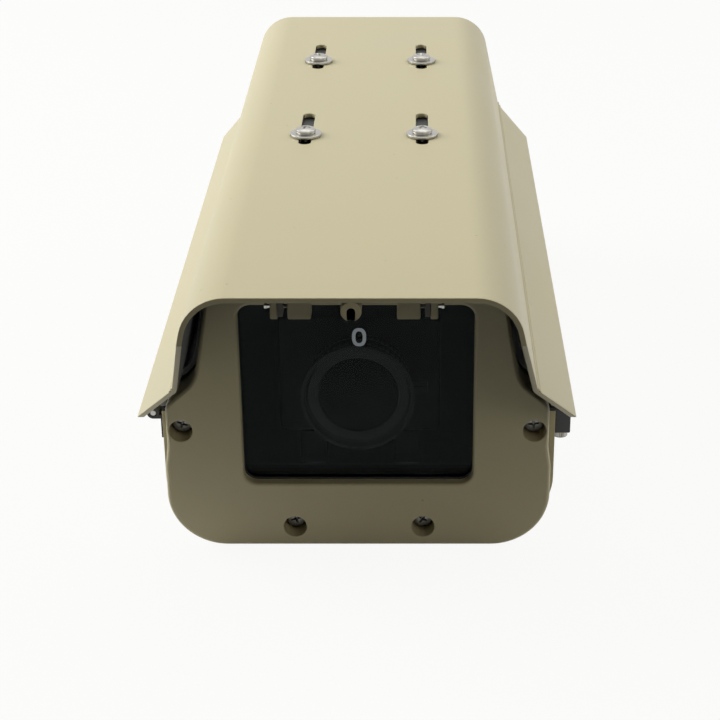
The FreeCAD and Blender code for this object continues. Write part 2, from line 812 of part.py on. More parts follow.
def window_parts():
    glass_x = s.window_half_width + s.glass_overlap
    glass_low = s.window_bottom - s.glass_overlap
    glass_high = s.window_top + s.glass_overlap
    body = new_body("window_glass")
    sketch = sketch_across(body, "glass_outline", glass_front)
    rectangle(sketch, -glass_x, glass_x, glass_low, glass_high, s.window_radius)
    pad(body, sketch, s.glass_thickness)
    node("window_glass", body)
    body = new_body("window_gasket")
    sketch = sketch_across(body, "window_gasket_outline", front_wall_back)
    rectangle(sketch, -glass_x, glass_x, glass_low, glass_high, s.window_radius)
    pad(body, sketch, s.window_gasket_thickness)
    sketch = sketch_across(body, "window_gasket_inside", front_wall_back)
    rectangle(sketch, -s.window_half_width, s.window_half_width, s.window_bottom, s.window_top,
              s.window_radius)
    pocket(body, sketch, s.window_gasket_thickness)
    node("window_gasket", body)
    body = new_body("window_retainer")
    frame_x = s.window_half_width + s.rebate_margin - s.side_clearance
    frame_low = s.window_bottom - s.rebate_height_margin + s.side_clearance
    frame_high = s.window_top + s.rebate_height_margin - s.side_clearance
    sketch = sketch_across(body, "retainer_outline", glass_back)
    rectangle(sketch, -frame_x, frame_x, frame_low, frame_high, s.window_radius)
    pad(body, sketch, s.retainer_thickness)
    sketch = sketch_across(body, "retainer_inside", glass_back)
    rectangle(sketch, -s.window_half_width, s.window_half_width, s.window_bottom, s.window_top,
              s.window_radius)
    pocket(body, sketch, s.retainer_thickness)
    sketch = sketch_across(body, "retainer_screw_holes", glass_back)
    circles(sketch, s.retainer_screw_radius + s.pin_clearance, retainer_screw_places())
    pocket(body, sketch, s.retainer_thickness)
    node("window_retainer", body)
    screws = []
    reach = retainer_back - front_wall_back + s.plate_front_wall / 2
    for index, (x, z) in enumerate(retainer_screw_places()):
        one = screw("retainer_screw_%d" % index, s.retainer_head_radius, s.retainer_head_height,
                    s.retainer_screw_radius, reach)
        screws.append(place(one, x, retainer_back, z, AROUND_X, 90))
    node("window_retainer_screws", group("window_retainer_screws", screws))


# Cable glands
def gland(side, x):
    name = "gland_" + side
    start = rear_plate_face
    flange_end = start + s.gland_flange_length
    neck_end = flange_end + s.gland_neck_length
    inner_end = rear_plate_front - s.locknut_thickness - s.side_clearance
    thread = bar_along_y(name + "_thread", s.gland_thread_radius, x, s.gland_height, inner_end, start)
    flange = hexagon_bar(name + "_flange", s.gland_hex_flats, s.gland_flange_length, x, start,
                         s.gland_height)
    neck = bar_along_y(name + "_neck", s.gland_thread_radius, x, s.gland_height, flange_end, neck_end)
    bore_radius = s.gland_thread_radius - s.gland_wall
    bore = bar_along_y(name + "_bore", bore_radius, x, s.gland_height, inner_end, neck_end)
    node(name + "_body", cut(name + "_body", fuse(name + "_solid", [thread, flange, neck]), [bore]))
    cap_start = flange_end + s.side_clearance
    cap_end = flange_end + s.gland_cap_length
    shell = hexagon_bar(name + "_cap_shell", s.gland_hex_flats, s.gland_cap_length - s.side_clearance,
                        x, cap_start, s.gland_height)
    cone = doc.addObject("Part::Cone", name + "_cap_cone")
    bind(cone, "Radius1", s.gland_hex_flats)
    bind(cone, "Radius2", s.gland_cap_mouth_radius + s.gland_wall)
    bind(cone, "Height", s.gland_cap_length - s.side_clearance)
    place(cone, x, cap_start, s.gland_height, AROUND_X, -90)
    domed = doc.addObject("Part::MultiCommon", name + "_cap_domed")
    domed.Shapes = [shell, cone]
    socket_end = neck_end + s.side_clearance
    socket = bar_along_y(name + "_socket", s.gland_thread_radius + s.pin_clearance, x, s.gland_height,
                         cap_start, socket_end)
    mouth = bar_along_y(name + "_mouth", s.gland_cap_mouth_radius, x, s.gland_height, cap_start, cap_end)
    node(name + "_cap", cut(name + "_cap", domed, [socket, mouth]))
    seal_length = neck_end - flange_end
    seal = bar_along_y(name + "_seal_ring", bore_radius, x, s.gland_height, flange_end,
                       flange_end + seal_length)
    hole = bar_along_y(name + "_seal_hole", s.gland_seal_bore, x, s.gland_height, flange_end,
                       flange_end + seal_length)
    node(name + "_seal", cut(name + "_seal", seal, [hole]))
    nut_start = rear_plate_front - s.locknut_thickness
    nut = hexagon_bar(name + "_nut_blank", s.gland_hex_flats, s.locknut_thickness, x, nut_start,
                      s.gland_height)
    nut_hole = bar_along_y(name + "_nut_hole", s.gland_thread_radius, x, s.gland_height, nut_start,
                           rear_plate_front)
    node(name + "_locknut", cut(name + "_locknut", nut, [nut_hole]))


# Lid
def lid():
    body = new_body("lid")
    front = -base_end + s.lid_end_clearance
    sketch = sketch_across(body, "lid_section", front)
    outline(sketch, lid_outline())
    solid = pad(body, sketch, s.base_length - s.lid_end_clearance * 2)
    hollow(body, solid, s.lid_wall, lambda normal: round(abs(normal.y)) == 1 or round(normal.z) == -1)
    sketch = sketch_on(body, "lid_screw_holes", "XY_Plane", lid_top)
    circles(sketch, s.shield_screw_radius + s.pin_clearance, shield_screw_places())
    pocket(body, sketch, s.lid_wall * 2)
    sketch = sketch_on(body, "lid_hinge_holes", "YZ_Plane", -lid_half_width)
    circles(sketch, s.rivet_radius, [(y, lid_rivet_z()) for y in rivet_places()])
    pocket(body, sketch, s.lid_wall * 2, reverse=True)
    return node("lid", body)


def lid_gasket():
    strips = []
    low, high = s.base_height, s.base_height + s.lid_gasket_thickness
    inner, outer = s.base_half_width - s.base_wall, s.base_half_width
    strips.append(box("lid_gasket_right", inner, outer, -base_end, base_end, low, high))
    strips.append(box("lid_gasket_left", -outer, -inner, -base_end, base_end, low, high))
    return node("lid_gasket", group("lid_gasket", strips))


def hinge(side, middle):
    """One hinge: a leaf on the trough with two knuckles, a leaf on the lid with one, and a pin."""
    name = "hinge_" + side
    start, end = middle - s.hinge_length / 2, middle + s.hinge_length / 2
    axis_z = hinge_axis_z
    wall = -s.base_half_width
    web_top = axis_z - s.knuckle_web_gap
    pieces = [box(name + "_leaf", wall - s.hinge_leaf, wall, start, end, base_leaf_bottom, web_top)]
    for index, y in enumerate((start, end - s.knuckle_length)):
        stop = y + s.knuckle_length
        pieces.append(bar_along_y("%s_knuckle_%d" % (name, index), s.knuckle_radius, hinge_axis_x,
                                  axis_z, y, stop))
        pieces.append(box("%s_web_%d" % (name, index), hinge_axis_x, wall - s.hinge_leaf,
                          y, stop, axis_z - s.knuckle_radius, web_top))
    holes = [bar_along_y(name + "_bore", s.pin_radius, hinge_axis_x, axis_z, start, end)]
    for y in (middle - s.rivet_spread, middle + s.rivet_spread):
        holes.append(bar_along_x("%s_rivet_hole_%d" % (name, len(holes)), s.rivet_radius, y,
                                 base_rivet_z(), wall - s.hinge_leaf * 2, wall))
    node(name + "_base_leaf", cut(name + "_base_leaf", fuse(name + "_base_solid", pieces), holes))
    lid_wall_x = -lid_half_width
    gap = s.side_clearance
    low, high = start + s.knuckle_length + gap, end - s.knuckle_length - gap
    web_low = axis_z + s.knuckle_web_gap
    pieces = [
        box(name + "_flap", lid_wall_x - s.hinge_leaf, lid_wall_x, start, end, lid_bottom, lid_leaf_top),
        box(name + "_tongue", lid_wall_x - s.hinge_leaf, lid_wall_x, low, high, web_low, lid_leaf_top),
        box(name + "_lid_web", hinge_axis_x, lid_wall_x, low, high, web_low, axis_z + s.knuckle_radius),
        bar_along_y(name + "_lid_knuckle", s.knuckle_radius, hinge_axis_x, axis_z, low, high),
    ]
    holes = [bar_along_y(name + "_lid_bore", s.pin_radius + s.pin_clearance, hinge_axis_x, axis_z,
                         low, high)]
    for y in (middle - s.rivet_spread, middle + s.rivet_spread):
        holes.append(bar_along_x("%s_lid_rivet_hole_%d" % (name, len(holes)), s.rivet_radius, y,
                                 lid_rivet_z(), lid_wall_x - s.hinge_leaf * 2, lid_wall_x))
    node(name + "_lid_leaf", cut(name + "_lid_leaf", fuse(name + "_lid_solid", pieces), holes))
    node(name + "_pin", bar_along_y(name + "_pin", s.pin_radius, hinge_axis_x, axis_z, start, end))


def rivets(name, face_x, z, wall):
    """Hinge rivets: a domed head outside the leaf and a shank through leaf and wall."""
    items = []
    for index, y in enumerate(rivet_places()):
        outside = face_x - s.hinge_leaf
        head = cylinder("%s_head_%d" % (name, index), s.rivet_head_radius, s.rivet_head_height,
                        outside - s.rivet_head_height, y, z, AROUND_Y, 90)
        shank = bar_along_x("%s_shank_%d" % (name, index), s.rivet_radius, y, z, outside, face_x + wall)
        items.append(fuse("%s_%d" % (name, index), [head, shank]))
    return node(name, group(name, items))


# Lid screws on the side away from the hinges
def lug_pair(side, middle):
    start, end = middle - s.lug_length / 2, middle + s.lug_length / 2
    top = s.base_height - s.side_clearance
    block = box("base_lug_%s_block" % side, s.base_half_width, s.base_half_width + s.lug_depth,
                start, end, top - s.base_lug_height, top)
    hole = cylinder("base_lug_%s_hole" % side, s.screw_radius + s.lug_screw_clearance, s.base_lug_height,
                    lug_axis_x, middle, top - s.base_lug_height)
    node("base_lug_" + side, cut("base_lug_" + side, block, [hole]))
    lug_outside = s.base_half_width + s.lug_depth
    block = box("lid_lug_%s_block" % side, lid_half_width, lug_outside, start, end,
                lid_bottom, lid_bottom + s.lid_lug_height)
    hole = cylinder("lid_lug_%s_hole" % side, s.screw_radius + s.lug_screw_clearance, s.lid_lug_height,
                    lug_axis_x, middle, lid_bottom)
    node("lid_lug_" + side, cut("lid_lug_" + side, block, [hole]))


def lid_screws():
    screws = []
    under = s.base_height - s.side_clearance - s.base_lug_height
    reach = lid_bottom + s.lug_screw_reach - under
    for index, y in enumerate((-lug_middle, lug_middle)):
        one = screw("lid_screw_%d" % index, s.knob_radius, s.knob_height, s.screw_radius, reach, slots=1)
        screws.append(place(one, lug_axis_x, y, under))
    return node("lid_screws", group("lid_screws", screws))


# Sunshield
def shield_screw_places():
    places = []
    for y in shield_screw_rows:
        places += [(-s.shield_rail_spread, y), (s.shield_rail_spread, y)]
    return places


def bead_places():
    """Two small beads along each crease, a little off it: one on the side wall and one on the flare."""
    wall_share = s.bead_rise / (shield_top - crease_height)
    flare_share = s.bead_rise / (crease_height - flare_bottom)
    wall_x = crease_half_width + (shield_corner_half_width - crease_half_width) * wall_share
    flare_x = crease_half_width + (flare_half_width - crease_half_width) * flare_share
    right = [(wall_x, crease_height + s.bead_rise), (flare_x, crease_height - s.bead_rise)]
    return right + [(-x, z) for x, z in right]


def sunshield():
    body = new_body("sunshield")
    sketch = sketch_across(body, "shield_section", shield_front)
    outline(sketch, both_sides([
        (flare_half_width, flare_bottom, 0),
        (crease_half_width, crease_height, s.crease_radius),
        (shield_corner_half_width, shield_top, s.shield_corner_radius),
    ]))
    solid = pad(body, sketch, shield_length)
    hollow(body, solid, s.shield_wall, lambda normal: round(abs(normal.y)) == 1 or round(normal.z) == -1)
    sketch = sketch_across(body, "crease_beads", shield_front)
    circles(sketch, s.bead_radius, bead_places())
    pad(body, sketch, shield_length)
    sketch = sketch_across(body, "screw_channel", shield_front)
    middle = shield_under - s.channel_drop + s.channel_radius
    circles(sketch, s.channel_radius, [(0, middle)])
    pad(body, sketch, shield_length)
    sketch = sketch_across(body, "channel_hollow", shield_front)
    circles(sketch, s.channel_bore, [(0, middle)])
    pocket(body, sketch, shield_length)
    sketch = sketch_across(body, "channel_opening", shield_front)
    half = s.channel_slot / 2
    rectangle(sketch, -half, half, middle - s.channel_radius - s.side_clearance, middle)
    pocket(body, sketch, shield_length)
    sketch = sketch_on(body, "raked_ends", "YZ_Plane", -(flare_half_width + s.shield_wall))
    front = shield_front - s.shield_wall
    outline(sketch, [
        (front, rake_top, 0),
        (front, flare_bottom - s.shield_wall, 0),
        (shield_front + s.rake_depth, flare_bottom - s.shield_wall, 0),
        (shield_front + s.rake_step, rake_top, 0),
    ])
    pocket(body, sketch, (flare_half_width + s.shield_wall) * 2, reverse=True)
    sketch = sketch_on(body, "shield_slots", "XY_Plane", shield_top)
    half = s.shield_screw_radius + s.side_clearance
    for x, y in shield_screw_places():
        front_end, back_end = y - slide_back - half, y + s.slide_forward + half
        rectangle(sketch, x - half, x + half, front_end, back_end, half * SLOT_ROUNDING)
    pocket(body, sketch, s.shield_wall * 2)
    return node("sunshield", body)


def shield_rails():
    top = shield_under - s.slide_clearance - s.slide_strip_thickness
    start, end = rail_front, rail_back
    for side, sign in (("left", -1), ("right", 1)):
        middle = s.shield_rail_spread * sign
        half = s.shield_rail_width / 2
        block = box("shield_rail_%s_block" % side, middle - half, middle + half, start, end, lid_top, top)
        inside = half - s.shield_rail_wall
        hollow_part = box("shield_rail_%s_inside" % side, middle - inside, middle + inside, start, end,
                          lid_top, top - s.shield_rail_wall)
        strip = box("slide_strip_%s_block" % side, middle - half, middle + half, start, end,
                    top, top + s.slide_strip_thickness)
        rail_tools, strip_tools = [hollow_part], []
        for index, y in enumerate(shield_screw_rows):
            for kind, tools in (("rail", rail_tools), ("strip", strip_tools)):
                tools.append(cylinder("shield_%s_hole_%s_%d" % (kind, side, index),
                                      s.shield_screw_radius + s.pin_clearance,
                                      shield_under - lid_top, middle, y, lid_top))
        node("shield_rail_" + side, cut("shield_rail_" + side, block, rail_tools))
        node("slide_strip_" + side, cut("slide_strip_" + side, strip, strip_tools))


def shield_fixings():
    screws, washers = [], []
    low = shield_top + s.slide_clearance / 2
    high = low + s.shield_washer_thickness
    reach = high - lid_top + s.lid_wall * 2
    for index, (x, y) in enumerate(shield_screw_places()):
        one = screw("shield_screw_%d" % index, s.shield_screw_head_radius, s.shield_screw_head_height,
                    s.shield_screw_radius, reach)
        screws.append(place(one, x, y, high, AROUND_X, 180))
        disc = cylinder("shield_washer_disc_%d" % index, s.shield_washer_radius,
                        s.shield_washer_thickness, x, y, low)
        hole = cylinder("shield_washer_hole_%d" % index, s.shield_screw_radius + s.pin_clearance,
                        s.shield_washer_thickness, x, y, low)
        washers.append(cut("shield_washer_%d" % index, disc, [hole]))
    node("shield_screws", group("shield_screws", screws))
    node("shield_washers", group("shield_washers", washers))


def stop_brackets():
    """Folded brackets under the sunshield's front; each one's rubber strip meets the front plate first."""
    start, end = stop_front, stop_back
    screws = []
    for side, sign in (("left", -1), ("right", 1)):
        def span(inner, outer):
            return (inner, outer) if sign > 0 else (-as_size(outer), -as_size(inner))
        name = "stop_bracket_" + side
        flange_low = shield_under - s.stop_top_flange
        flange = box(name + "_flange", *span(s.stop_block_start, stop_post_end), start, end,
                     flange_low, shield_under)
        block = box(name + "_block", *span(s.stop_block_start, stop_block_end), start, end,
                    stop_bottom, shield_under)
        post = box(name + "_post", *span(stop_post_start, stop_post_end), start, end, stop_bottom,
                   shield_under)
        inner_x, outer_x = span(s.stop_block_start, stop_post_end)
        middle_y = (start + end) / 2
        hole = bar_along_x(name + "_hole", s.stop_screw_radius, middle_y, stop_screw_z, inner_x, outer_x)
        solid = fuse(name + "_solid", [flange, block, post])
        node(name, cut(name, solid, [hole]))
        strip_in, strip_out = stop_post_start - s.stop_buffer_thickness, stop_post_start
        strip = box("stop_buffer_%s_strip" % side, *span(strip_in, strip_out), start,
                    end + s.stop_buffer_proud, stop_bottom + s.side_clearance * 3, flange_low)
        strip_hole = bar_along_x("stop_buffer_%s_hole" % side, s.stop_screw_radius, middle_y,
                                 stop_screw_z, *span(strip_in, strip_out))
        node("stop_buffer_" + side, cut("stop_buffer_" + side, strip, [strip_hole]))
        shank = bar_along_x("stop_screw_%s_shank" % side, s.stop_screw_radius, middle_y, stop_screw_z,
                            *span(s.stop_block_start, stop_post_end + s.stop_screw_reach / 2))
        head = bar_along_x("stop_screw_%s_head" % side, s.stop_screw_head_radius, middle_y, stop_screw_z,
                           *span(stop_post_end, stop_post_end + s.stop_screw_reach))
        screws.append(fuse("stop_screw_" + side, [shank, head]))
    node("stop_screws", group("stop_screws", screws))


# Camera on its tray
def camera_tray():
    body = new_body("camera_tray")
    edge = s.base_half_width - s.base_wall - s.tray_edge_clearance
    sketch = sketch_on(body, "tray_outline", "XY_Plane", tray_top - s.tray_thickness)
    rectangle(sketch, -edge, edge, tray_front, tray_back, s.camera_edge_radius)
    pad(body, sketch, s.tray_thickness, reverse=False)
    sketch = sketch_on(body, "tray_slot", "XY_Plane", tray_top)
    half = s.tray_slot_width / 2
    slot_start = camera_screw_middle - s.tray_slot_width
    rectangle(sketch, -half, half, slot_start, slot_start + s.tray_slot_length, half * SLOT_ROUNDING)
    pocket(body, sketch, s.tray_thickness)
    return node("camera_tray", body)


def camera_riser():
    body = new_body("camera_riser")
    front = camera_front
    sketch = sketch_across(body, "riser_outline", front)
    rectangle(sketch, -s.riser_half_width, s.riser_half_width, tray_top, camera_bottom)
    pad(body, sketch, s.riser_length)
    sketch = sketch_across(body, "riser_inside", front)
    inside = s.riser_half_width - s.riser_leg_width
    rectangle(sketch, -inside, inside, tray_top - s.riser_plate, camera_bottom - s.riser_plate)
    pocket(body, sketch, s.riser_length)
    sketch = sketch_on(body, "riser_hole", "XY_Plane", camera_bottom)
    circles(sketch, s.camera_screw_radius + s.pin_clearance, [(0, camera_screw_middle)])
    pocket(body, sketch, s.riser_plate * 2)
    return node("camera_riser", body)


def camera_body():
    body = new_body("camera_body")
    sketch = sketch_across(body, "camera_outline", camera_front)
    rectangle(sketch, -s.camera_half_width, s.camera_half_width, camera_bottom, camera_top,
              s.camera_edge_radius)
    solid = pad(body, sketch, s.camera_length)
    rounded = body.newObject("PartDesign::Fillet", "camera_front_round")
    rounded.Base = (solid, edges_at(solid, camera_front))
    bind(rounded, "Radius", s.camera_edge_radius / 2)
    sketch = sketch_on(body, "camera_screw_hole", "XY_Plane", camera_bottom)
    circles(sketch, s.camera_screw_radius + s.pin_clearance, [(0, camera_screw_middle)])
    pocket(body, sketch, s.camera_screw_bite + s.side_clearance, reverse=True)
    return node("camera_body", body)


def camera_screw():
    under = tray_top - s.tray_thickness
    one = screw("camera_screw_blank", s.camera_knob_radius, s.camera_knob_height, s.camera_screw_radius,
                camera_bottom + s.camera_screw_bite - under, slots=1)
    return node("camera_screw", place(one, 0, camera_screw_middle, under))


def ring_on_lens(name, radius, bore, start, length):
    """A plain ring about the lens axis; start is its rear end and it runs forward towards -Y."""
    outer = bar_along_y(name + "_outer", radius, 0, lens_axis_z, start - length, start)
    inner = bar_along_y(name + "_inner", bore, 0, lens_axis_z, start - length, start)
    return cut(name, outer, [inner])


def lens():
    node("lens_mount", ring_on_lens("lens_mount", s.lens_mount_radius, s.lens_core_radius,
                                    camera_front, s.lens_mount_length))
    core = bar_along_y("lens_core", s.lens_core_radius, 0, lens_axis_z, rim_back, camera_front)
    rim = bar_along_y("lens_rim", s.lens_rim_radius, 0, lens_axis_z, lens_front, rim_back)
    well = bar_along_y("lens_well", s.lens_rim_radius - s.lens_rim_wall, 0, lens_axis_z,
                       lens_front, lens_front + s.lens_name_ring_depth)
    bore = bar_along_y("lens_bore", s.lens_bore_radius, 0, lens_axis_z,
                       lens_front, camera_front - s.lens_mount_length)
    node("lens_barrel", cut("lens_barrel", fuse("lens_barrel_solid", [core, rim]), [well, bore]))
    ring_bore = s.lens_core_radius + s.ring_clearance
    ring_rows = (
        ("focus", s.focus_ring_radius, focus_back, s.focus_ring_length),
        ("zoom", s.zoom_ring_radius, zoom_back, s.zoom_ring_length),
    )
    for name, radius, start, length in ring_rows:
        knob_y = start - length / 2
        ring = ring_on_lens(name + "_ring_blank", radius, ring_bore, start, length)
        hole = bar_along_x(name + "_knob_hole", s.lens_knob_radius / 2, knob_y, lens_axis_z,
                           s.lens_core_radius, radius)
        node(name + "_ring", cut(name + "_ring", ring, [hole]))
        shank = bar_along_x(name + "_knob_shank", s.lens_knob_radius / 2, knob_y, lens_axis_z,
                            s.lens_core_radius + s.ring_gap, radius + s.lens_knob_length)
        head = bar_along_x(name + "_knob_head", s.lens_knob_radius, knob_y, lens_axis_z,
                           radius + s.ring_gap, radius + s.lens_knob_length)
        node(name + "_lock_screw", fuse(name + "_lock_screw", [shank, head]))
    front_element(lens_front + s.lens_name_ring_depth)


def front_element(seat):
    """The lens's front glass, domed towards the window."""
    radius = s.lens_bore_radius - s.lens_glass_clearance
    disc = bar_along_y("front_element_disc", radius, 0, lens_axis_z, seat, seat + s.lens_glass_thickness)
    dome_radius = (radius * radius + s.lens_dome_height * s.lens_dome_height) / (s.lens_dome_height * 2)
    ball = doc.addObject("Part::Sphere", "front_element_ball")
    bind(ball, "Radius", dome_radius)
    place(ball, 0, seat - s.lens_dome_height + dome_radius, lens_axis_z)
    cap = doc.addObject("Part::MultiCommon", "front_element_dome")
    column = bar_along_y("front_element_column", radius, 0, lens_axis_z, seat - s.lens_dome_height, seat)
    cap.Shapes = [ball, column]
    return node("front_element", fuse("front_element", [disc, cap]))


def terminal_block():
    """Screw terminals for the power leads, on the trough's floor behind the tray."""
    half_x, half_y = s.terminal_length / 2, s.terminal_depth / 2
    low, high = s.base_wall, s.base_wall + s.terminal_height
    block = box("terminal_blank", -half_x, half_x, terminal_middle - half_y,
                terminal_middle + half_y, low, high)
    count = int(SIZES["terminal_count"])
    pitch = s.terminal_length / count
    tools = []
    for index in range(count):
        x = pitch * (index + 0.5) - half_x
        tools.append(cylinder("terminal_well_%d" % index, pitch / 4, s.terminal_height / 2, x,
                              terminal_middle,
                              high - s.terminal_height / 2))
    return node("terminal_block", cut("terminal_block", block, tools))


base_trough()
front_plate()
rear_plate()
end_gasket("front_plate_gasket", plate_back)
end_gasket("rear_plate_gasket", base_end)
plate_screws("front_plate_screws", plate_face + s.counterbore_depth, -90)
plate_screws("rear_plate_screws", rear_plate_face - s.rear_counterbore_depth, 90)
window_parts()
gland("left", -s.gland_spread)
gland("right", s.gland_spread)
lid()
lid_gasket()
hinge("front", -hinge_middle)
hinge("rear", hinge_middle)
rivets("base_hinge_rivets", -s.base_half_width, base_rivet_z(), s.base_wall)
rivets("lid_hinge_rivets", -lid_half_width, lid_rivet_z(), s.lid_wall)
lug_pair("front", -lug_middle)
lug_pair("rear", lug_middle)
lid_screws()
sunshield()
shield_rails()
shield_fixings()
stop_brackets()
camera_tray()
camera_riser()
camera_body()
camera_screw()
lens()
terminal_block()

doc.recompute()
for item in doc.Objects:
    if "Invalid" in item.State or "Error" in item.State:
        raise RuntimeError("failed object: %s %s" % (item.Name, item.State))
for name, target in nodes.items():
    if target.Shape.isNull() or not target.Shape.isValid():
        raise RuntimeError("bad shape: " + name)
for name, target in nodes.items():
    target.Shape.exportStep("parts/%s.step" % name)
print(len(nodes), "pieces written")
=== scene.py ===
"""Finishes and fine detail of an outdoor security camera housing, under soft studio light."""
import json
import math

import bmesh
import bpy
from mathutils import Matrix, Vector


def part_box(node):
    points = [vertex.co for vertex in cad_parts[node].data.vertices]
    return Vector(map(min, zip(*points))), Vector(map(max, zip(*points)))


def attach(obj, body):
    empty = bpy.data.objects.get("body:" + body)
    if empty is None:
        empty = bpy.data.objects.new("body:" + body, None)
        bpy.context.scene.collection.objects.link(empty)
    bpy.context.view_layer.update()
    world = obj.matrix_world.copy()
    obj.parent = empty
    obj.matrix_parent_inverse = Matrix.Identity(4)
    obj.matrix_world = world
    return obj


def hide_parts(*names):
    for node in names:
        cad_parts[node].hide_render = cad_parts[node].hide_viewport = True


bl_info = {
    "name": "Outdoor camera housing",
    "version": (1, 0, 0),
    "blender": (4, 5, 0),
    "location": "View3D > Sidebar > Housing",
    "description": "Dresses the camera housing in its finishes and fine detail, under studio light",
    "category": "Object",
}

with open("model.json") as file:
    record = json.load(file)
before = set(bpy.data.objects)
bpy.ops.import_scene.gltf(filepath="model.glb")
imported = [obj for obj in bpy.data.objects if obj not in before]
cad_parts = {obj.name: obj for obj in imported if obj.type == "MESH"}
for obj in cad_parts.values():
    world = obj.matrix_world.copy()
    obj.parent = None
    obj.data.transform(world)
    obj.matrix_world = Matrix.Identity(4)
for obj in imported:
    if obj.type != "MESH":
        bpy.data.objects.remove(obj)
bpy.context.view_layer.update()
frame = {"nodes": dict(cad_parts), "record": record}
RECORD = frame["record"]
BODY_OF = {node: body for body, members in RECORD["behaviour"]["bodies"].items() for node in members}
SIDES = ("left", "right")
ENDS = ("front", "rear")

MM = 0.001
FULL_TURN = 2 * math.pi
WELD = 0.001 * MM
FLAT_ANGLE = math.radians(0.5)
SHARP_ANGLE = math.radians(32)

# Directions that turn a piece made upright along +Z
FACING_FRONT = Matrix.Rotation(-math.pi / 2, 4, "X")
FACING_REAR = Matrix.Rotation(math.pi / 2, 4, "X")
FACING_UP = Matrix.Rotation(math.pi, 4, "X")
FACING_DOWN = Matrix.Identity(4)
FACING_RIGHT = Matrix.Rotation(-math.pi / 2, 4, "Y")
FACING_LEFT = Matrix.Rotation(math.pi / 2, 4, "Y")


def linear(hex_colour):
    """An sRGB hex colour as linear red, green, blue and alpha."""
    values = []
    for start in (1, 3, 5):
        channel = int(hex_colour[start:start + 2], 16) / 255
        values.append(channel / 12.92 if channel <= 0.04045 else ((channel + 0.055) / 1.055) ** 2.4)
    return (*values, 1.0)


def colour_property(name, description, hex_colour):
    return bpy.props.FloatVectorProperty(
        name=name, description=description, subtype="COLOR", size=4, min=0.0, max=1.0,
        default=linear(hex_colour))


def length_property(name, description, millimetres):
    return bpy.props.FloatProperty(
        name=name, description=description, unit="LENGTH", precision=5, min=0.0, default=millimetres * MM)


class HousingColours(bpy.types.PropertyGroup):
    powder_coat: colour_property("Powder coat", "Outside of castings and extrusions", "#c6bd98")
    enamel: colour_property("Black enamel", "Hinges, lugs, lens mount and the camera's riser", "#141515")
    # This black on the sunshield's underside is painted shade; on the camera's case it is the case's own colour.
    primer: colour_property("Black primer", "Underside of the sunshield and the camera's case", "#343634")
    # On the lid this grey is painted shade, for the gap under the sunshield; on the window's frame it is the frame's
    # own colour.
    grey_primer: colour_property("Grey primer", "Lid and the frame that holds the window", "#a8aaa8")
    steel: colour_property("Stainless steel", "Screws, rivets and washers", "#b4b2ac")
    black_oxide: colour_property("Black oxide", "Recessed screws of the end plates", "#8c8a84")
    rubber: colour_property("Rubber", "Gaskets and seals", "#1c1d1d")
    grey_rubber: colour_property("Grey rubber", "Buffers of the stop brackets", "#6f6b66")
    nylon: colour_property("Black nylon", "Glands, slide strips and lens rings", "#1c1d1e")
    aluminium: colour_property("Mill aluminium", "Tray and rails", "#c4c5c6")
    glass: colour_property("Window glass", "Faintly grey float glass", "#b0b5b3")
    lens_coating: colour_property("Lens coating", "Tint of the coated front element", "#46484f")
    melamine: colour_property("Melamine", "Terminal block", "#d8cfb4")
    brass: colour_property("Brass", "Terminal screws", "#b89a5a")
    ink: colour_property("Silver ink", "Printed numeral", "#72777a")
    floor: colour_property("Floor", "Studio floor as the camera sees it", "#fdfdfc")


class HousingSizes(bpy.types.PropertyGroup):
    sheet_round: length_property("Sheet edge", "Rounding of sawn sheet edges under the powder coat", 0.35)
    cast_round: length_property("Cast edge", "Rounding of machined edges on the castings", 0.5)
    bracket_round: length_property("Bracket edge", "Rounding of the cast stop brackets' edges", 0.5)
    small_round: length_property("Small edge", "Rounding of small parts' edges", 0.18)
    plate_thread: length_property("Plate screw pitch", "Thread pitch of the M4 screws", 0.7)
    small_thread: length_property("Small screw pitch", "Thread pitch of the small screws", 0.45)
    thread_depth: length_property("Thread depth", "Depth of the M4 screws' thread", 0.35)
    peel: length_property("Orange peel", "Width of the ripples in the powder coat", 1.5)
    nib_spacing: length_property("Dust nib spacing", "Mean distance between specks in the powder coat", 11.0)
    nib_radius: length_property("Dust nib radius", "Size of the specks in the powder coat", 0.55)


class HousingStudio(bpy.types.PropertyGroup):
    camera_place: bpy.props.FloatVectorProperty(
        name="Camera place", description="Where the camera stands", subtype="TRANSLATION", unit="LENGTH",
        default=(0.0193, -0.6660, 0.3231))
    camera_pitch: bpy.props.FloatProperty(
        name="Camera pitch", description="How far the camera looks down", unit="ROTATION",
        default=math.radians(25.48))
    focal_length: bpy.props.FloatProperty(
        name="Focal length", description="In millimetres on a 36 mm wide sensor", default=88.65)
    shift: bpy.props.FloatProperty(
        name="Shift", description="Sideways shift, as a share of the picture's width", default=-0.0764)
    ceiling_power: bpy.props.FloatProperty(
        name="Ceiling softbox", description="Power of the light above", default=6.9)
    left_power: bpy.props.FloatProperty(
        name="Left softbox", description="Power of the light on the left", default=16.0)
    right_power: bpy.props.FloatProperty(
        name="Right softbox", description="Power of the light on the right", default=5.4)
    front_power: bpy.props.FloatProperty(
        name="Front softbox", description="Power of the light in front and to the right", default=1.8)
    room_level: bpy.props.FloatProperty(
        name="Room level", description="Strength of the plain light from all round", default=0.015)


# Shader nodes
def add(tree, kind, inputs=None, **settings):
    """Adds a shader node with its settings; an input is a value, or another node's socket to link from."""
    node = tree.nodes.new(kind)
    for name, value in settings.items():
        setattr(node, name, value)
    for name, value in (inputs or {}).items():
        if isinstance(value, bpy.types.NodeSocket):
            tree.links.new(value, node.inputs[name])
        else:
            node.inputs[name].default_value = value
    return node


def begin_material(name):
    """A new material, its node tree and the surface's own coordinates in metres."""
    material = bpy.data.materials.new(name)
    material.use_nodes = True
    tree = material.node_tree
    tree.nodes.clear()
    return material, tree, add(tree, "ShaderNodeTexCoord").outputs["Object"]


def shade(colour, factor):
    """A colour made darker or lighter by one factor."""
    return (*(min(channel * factor, 1.0) for channel in colour[:3]), 1.0)


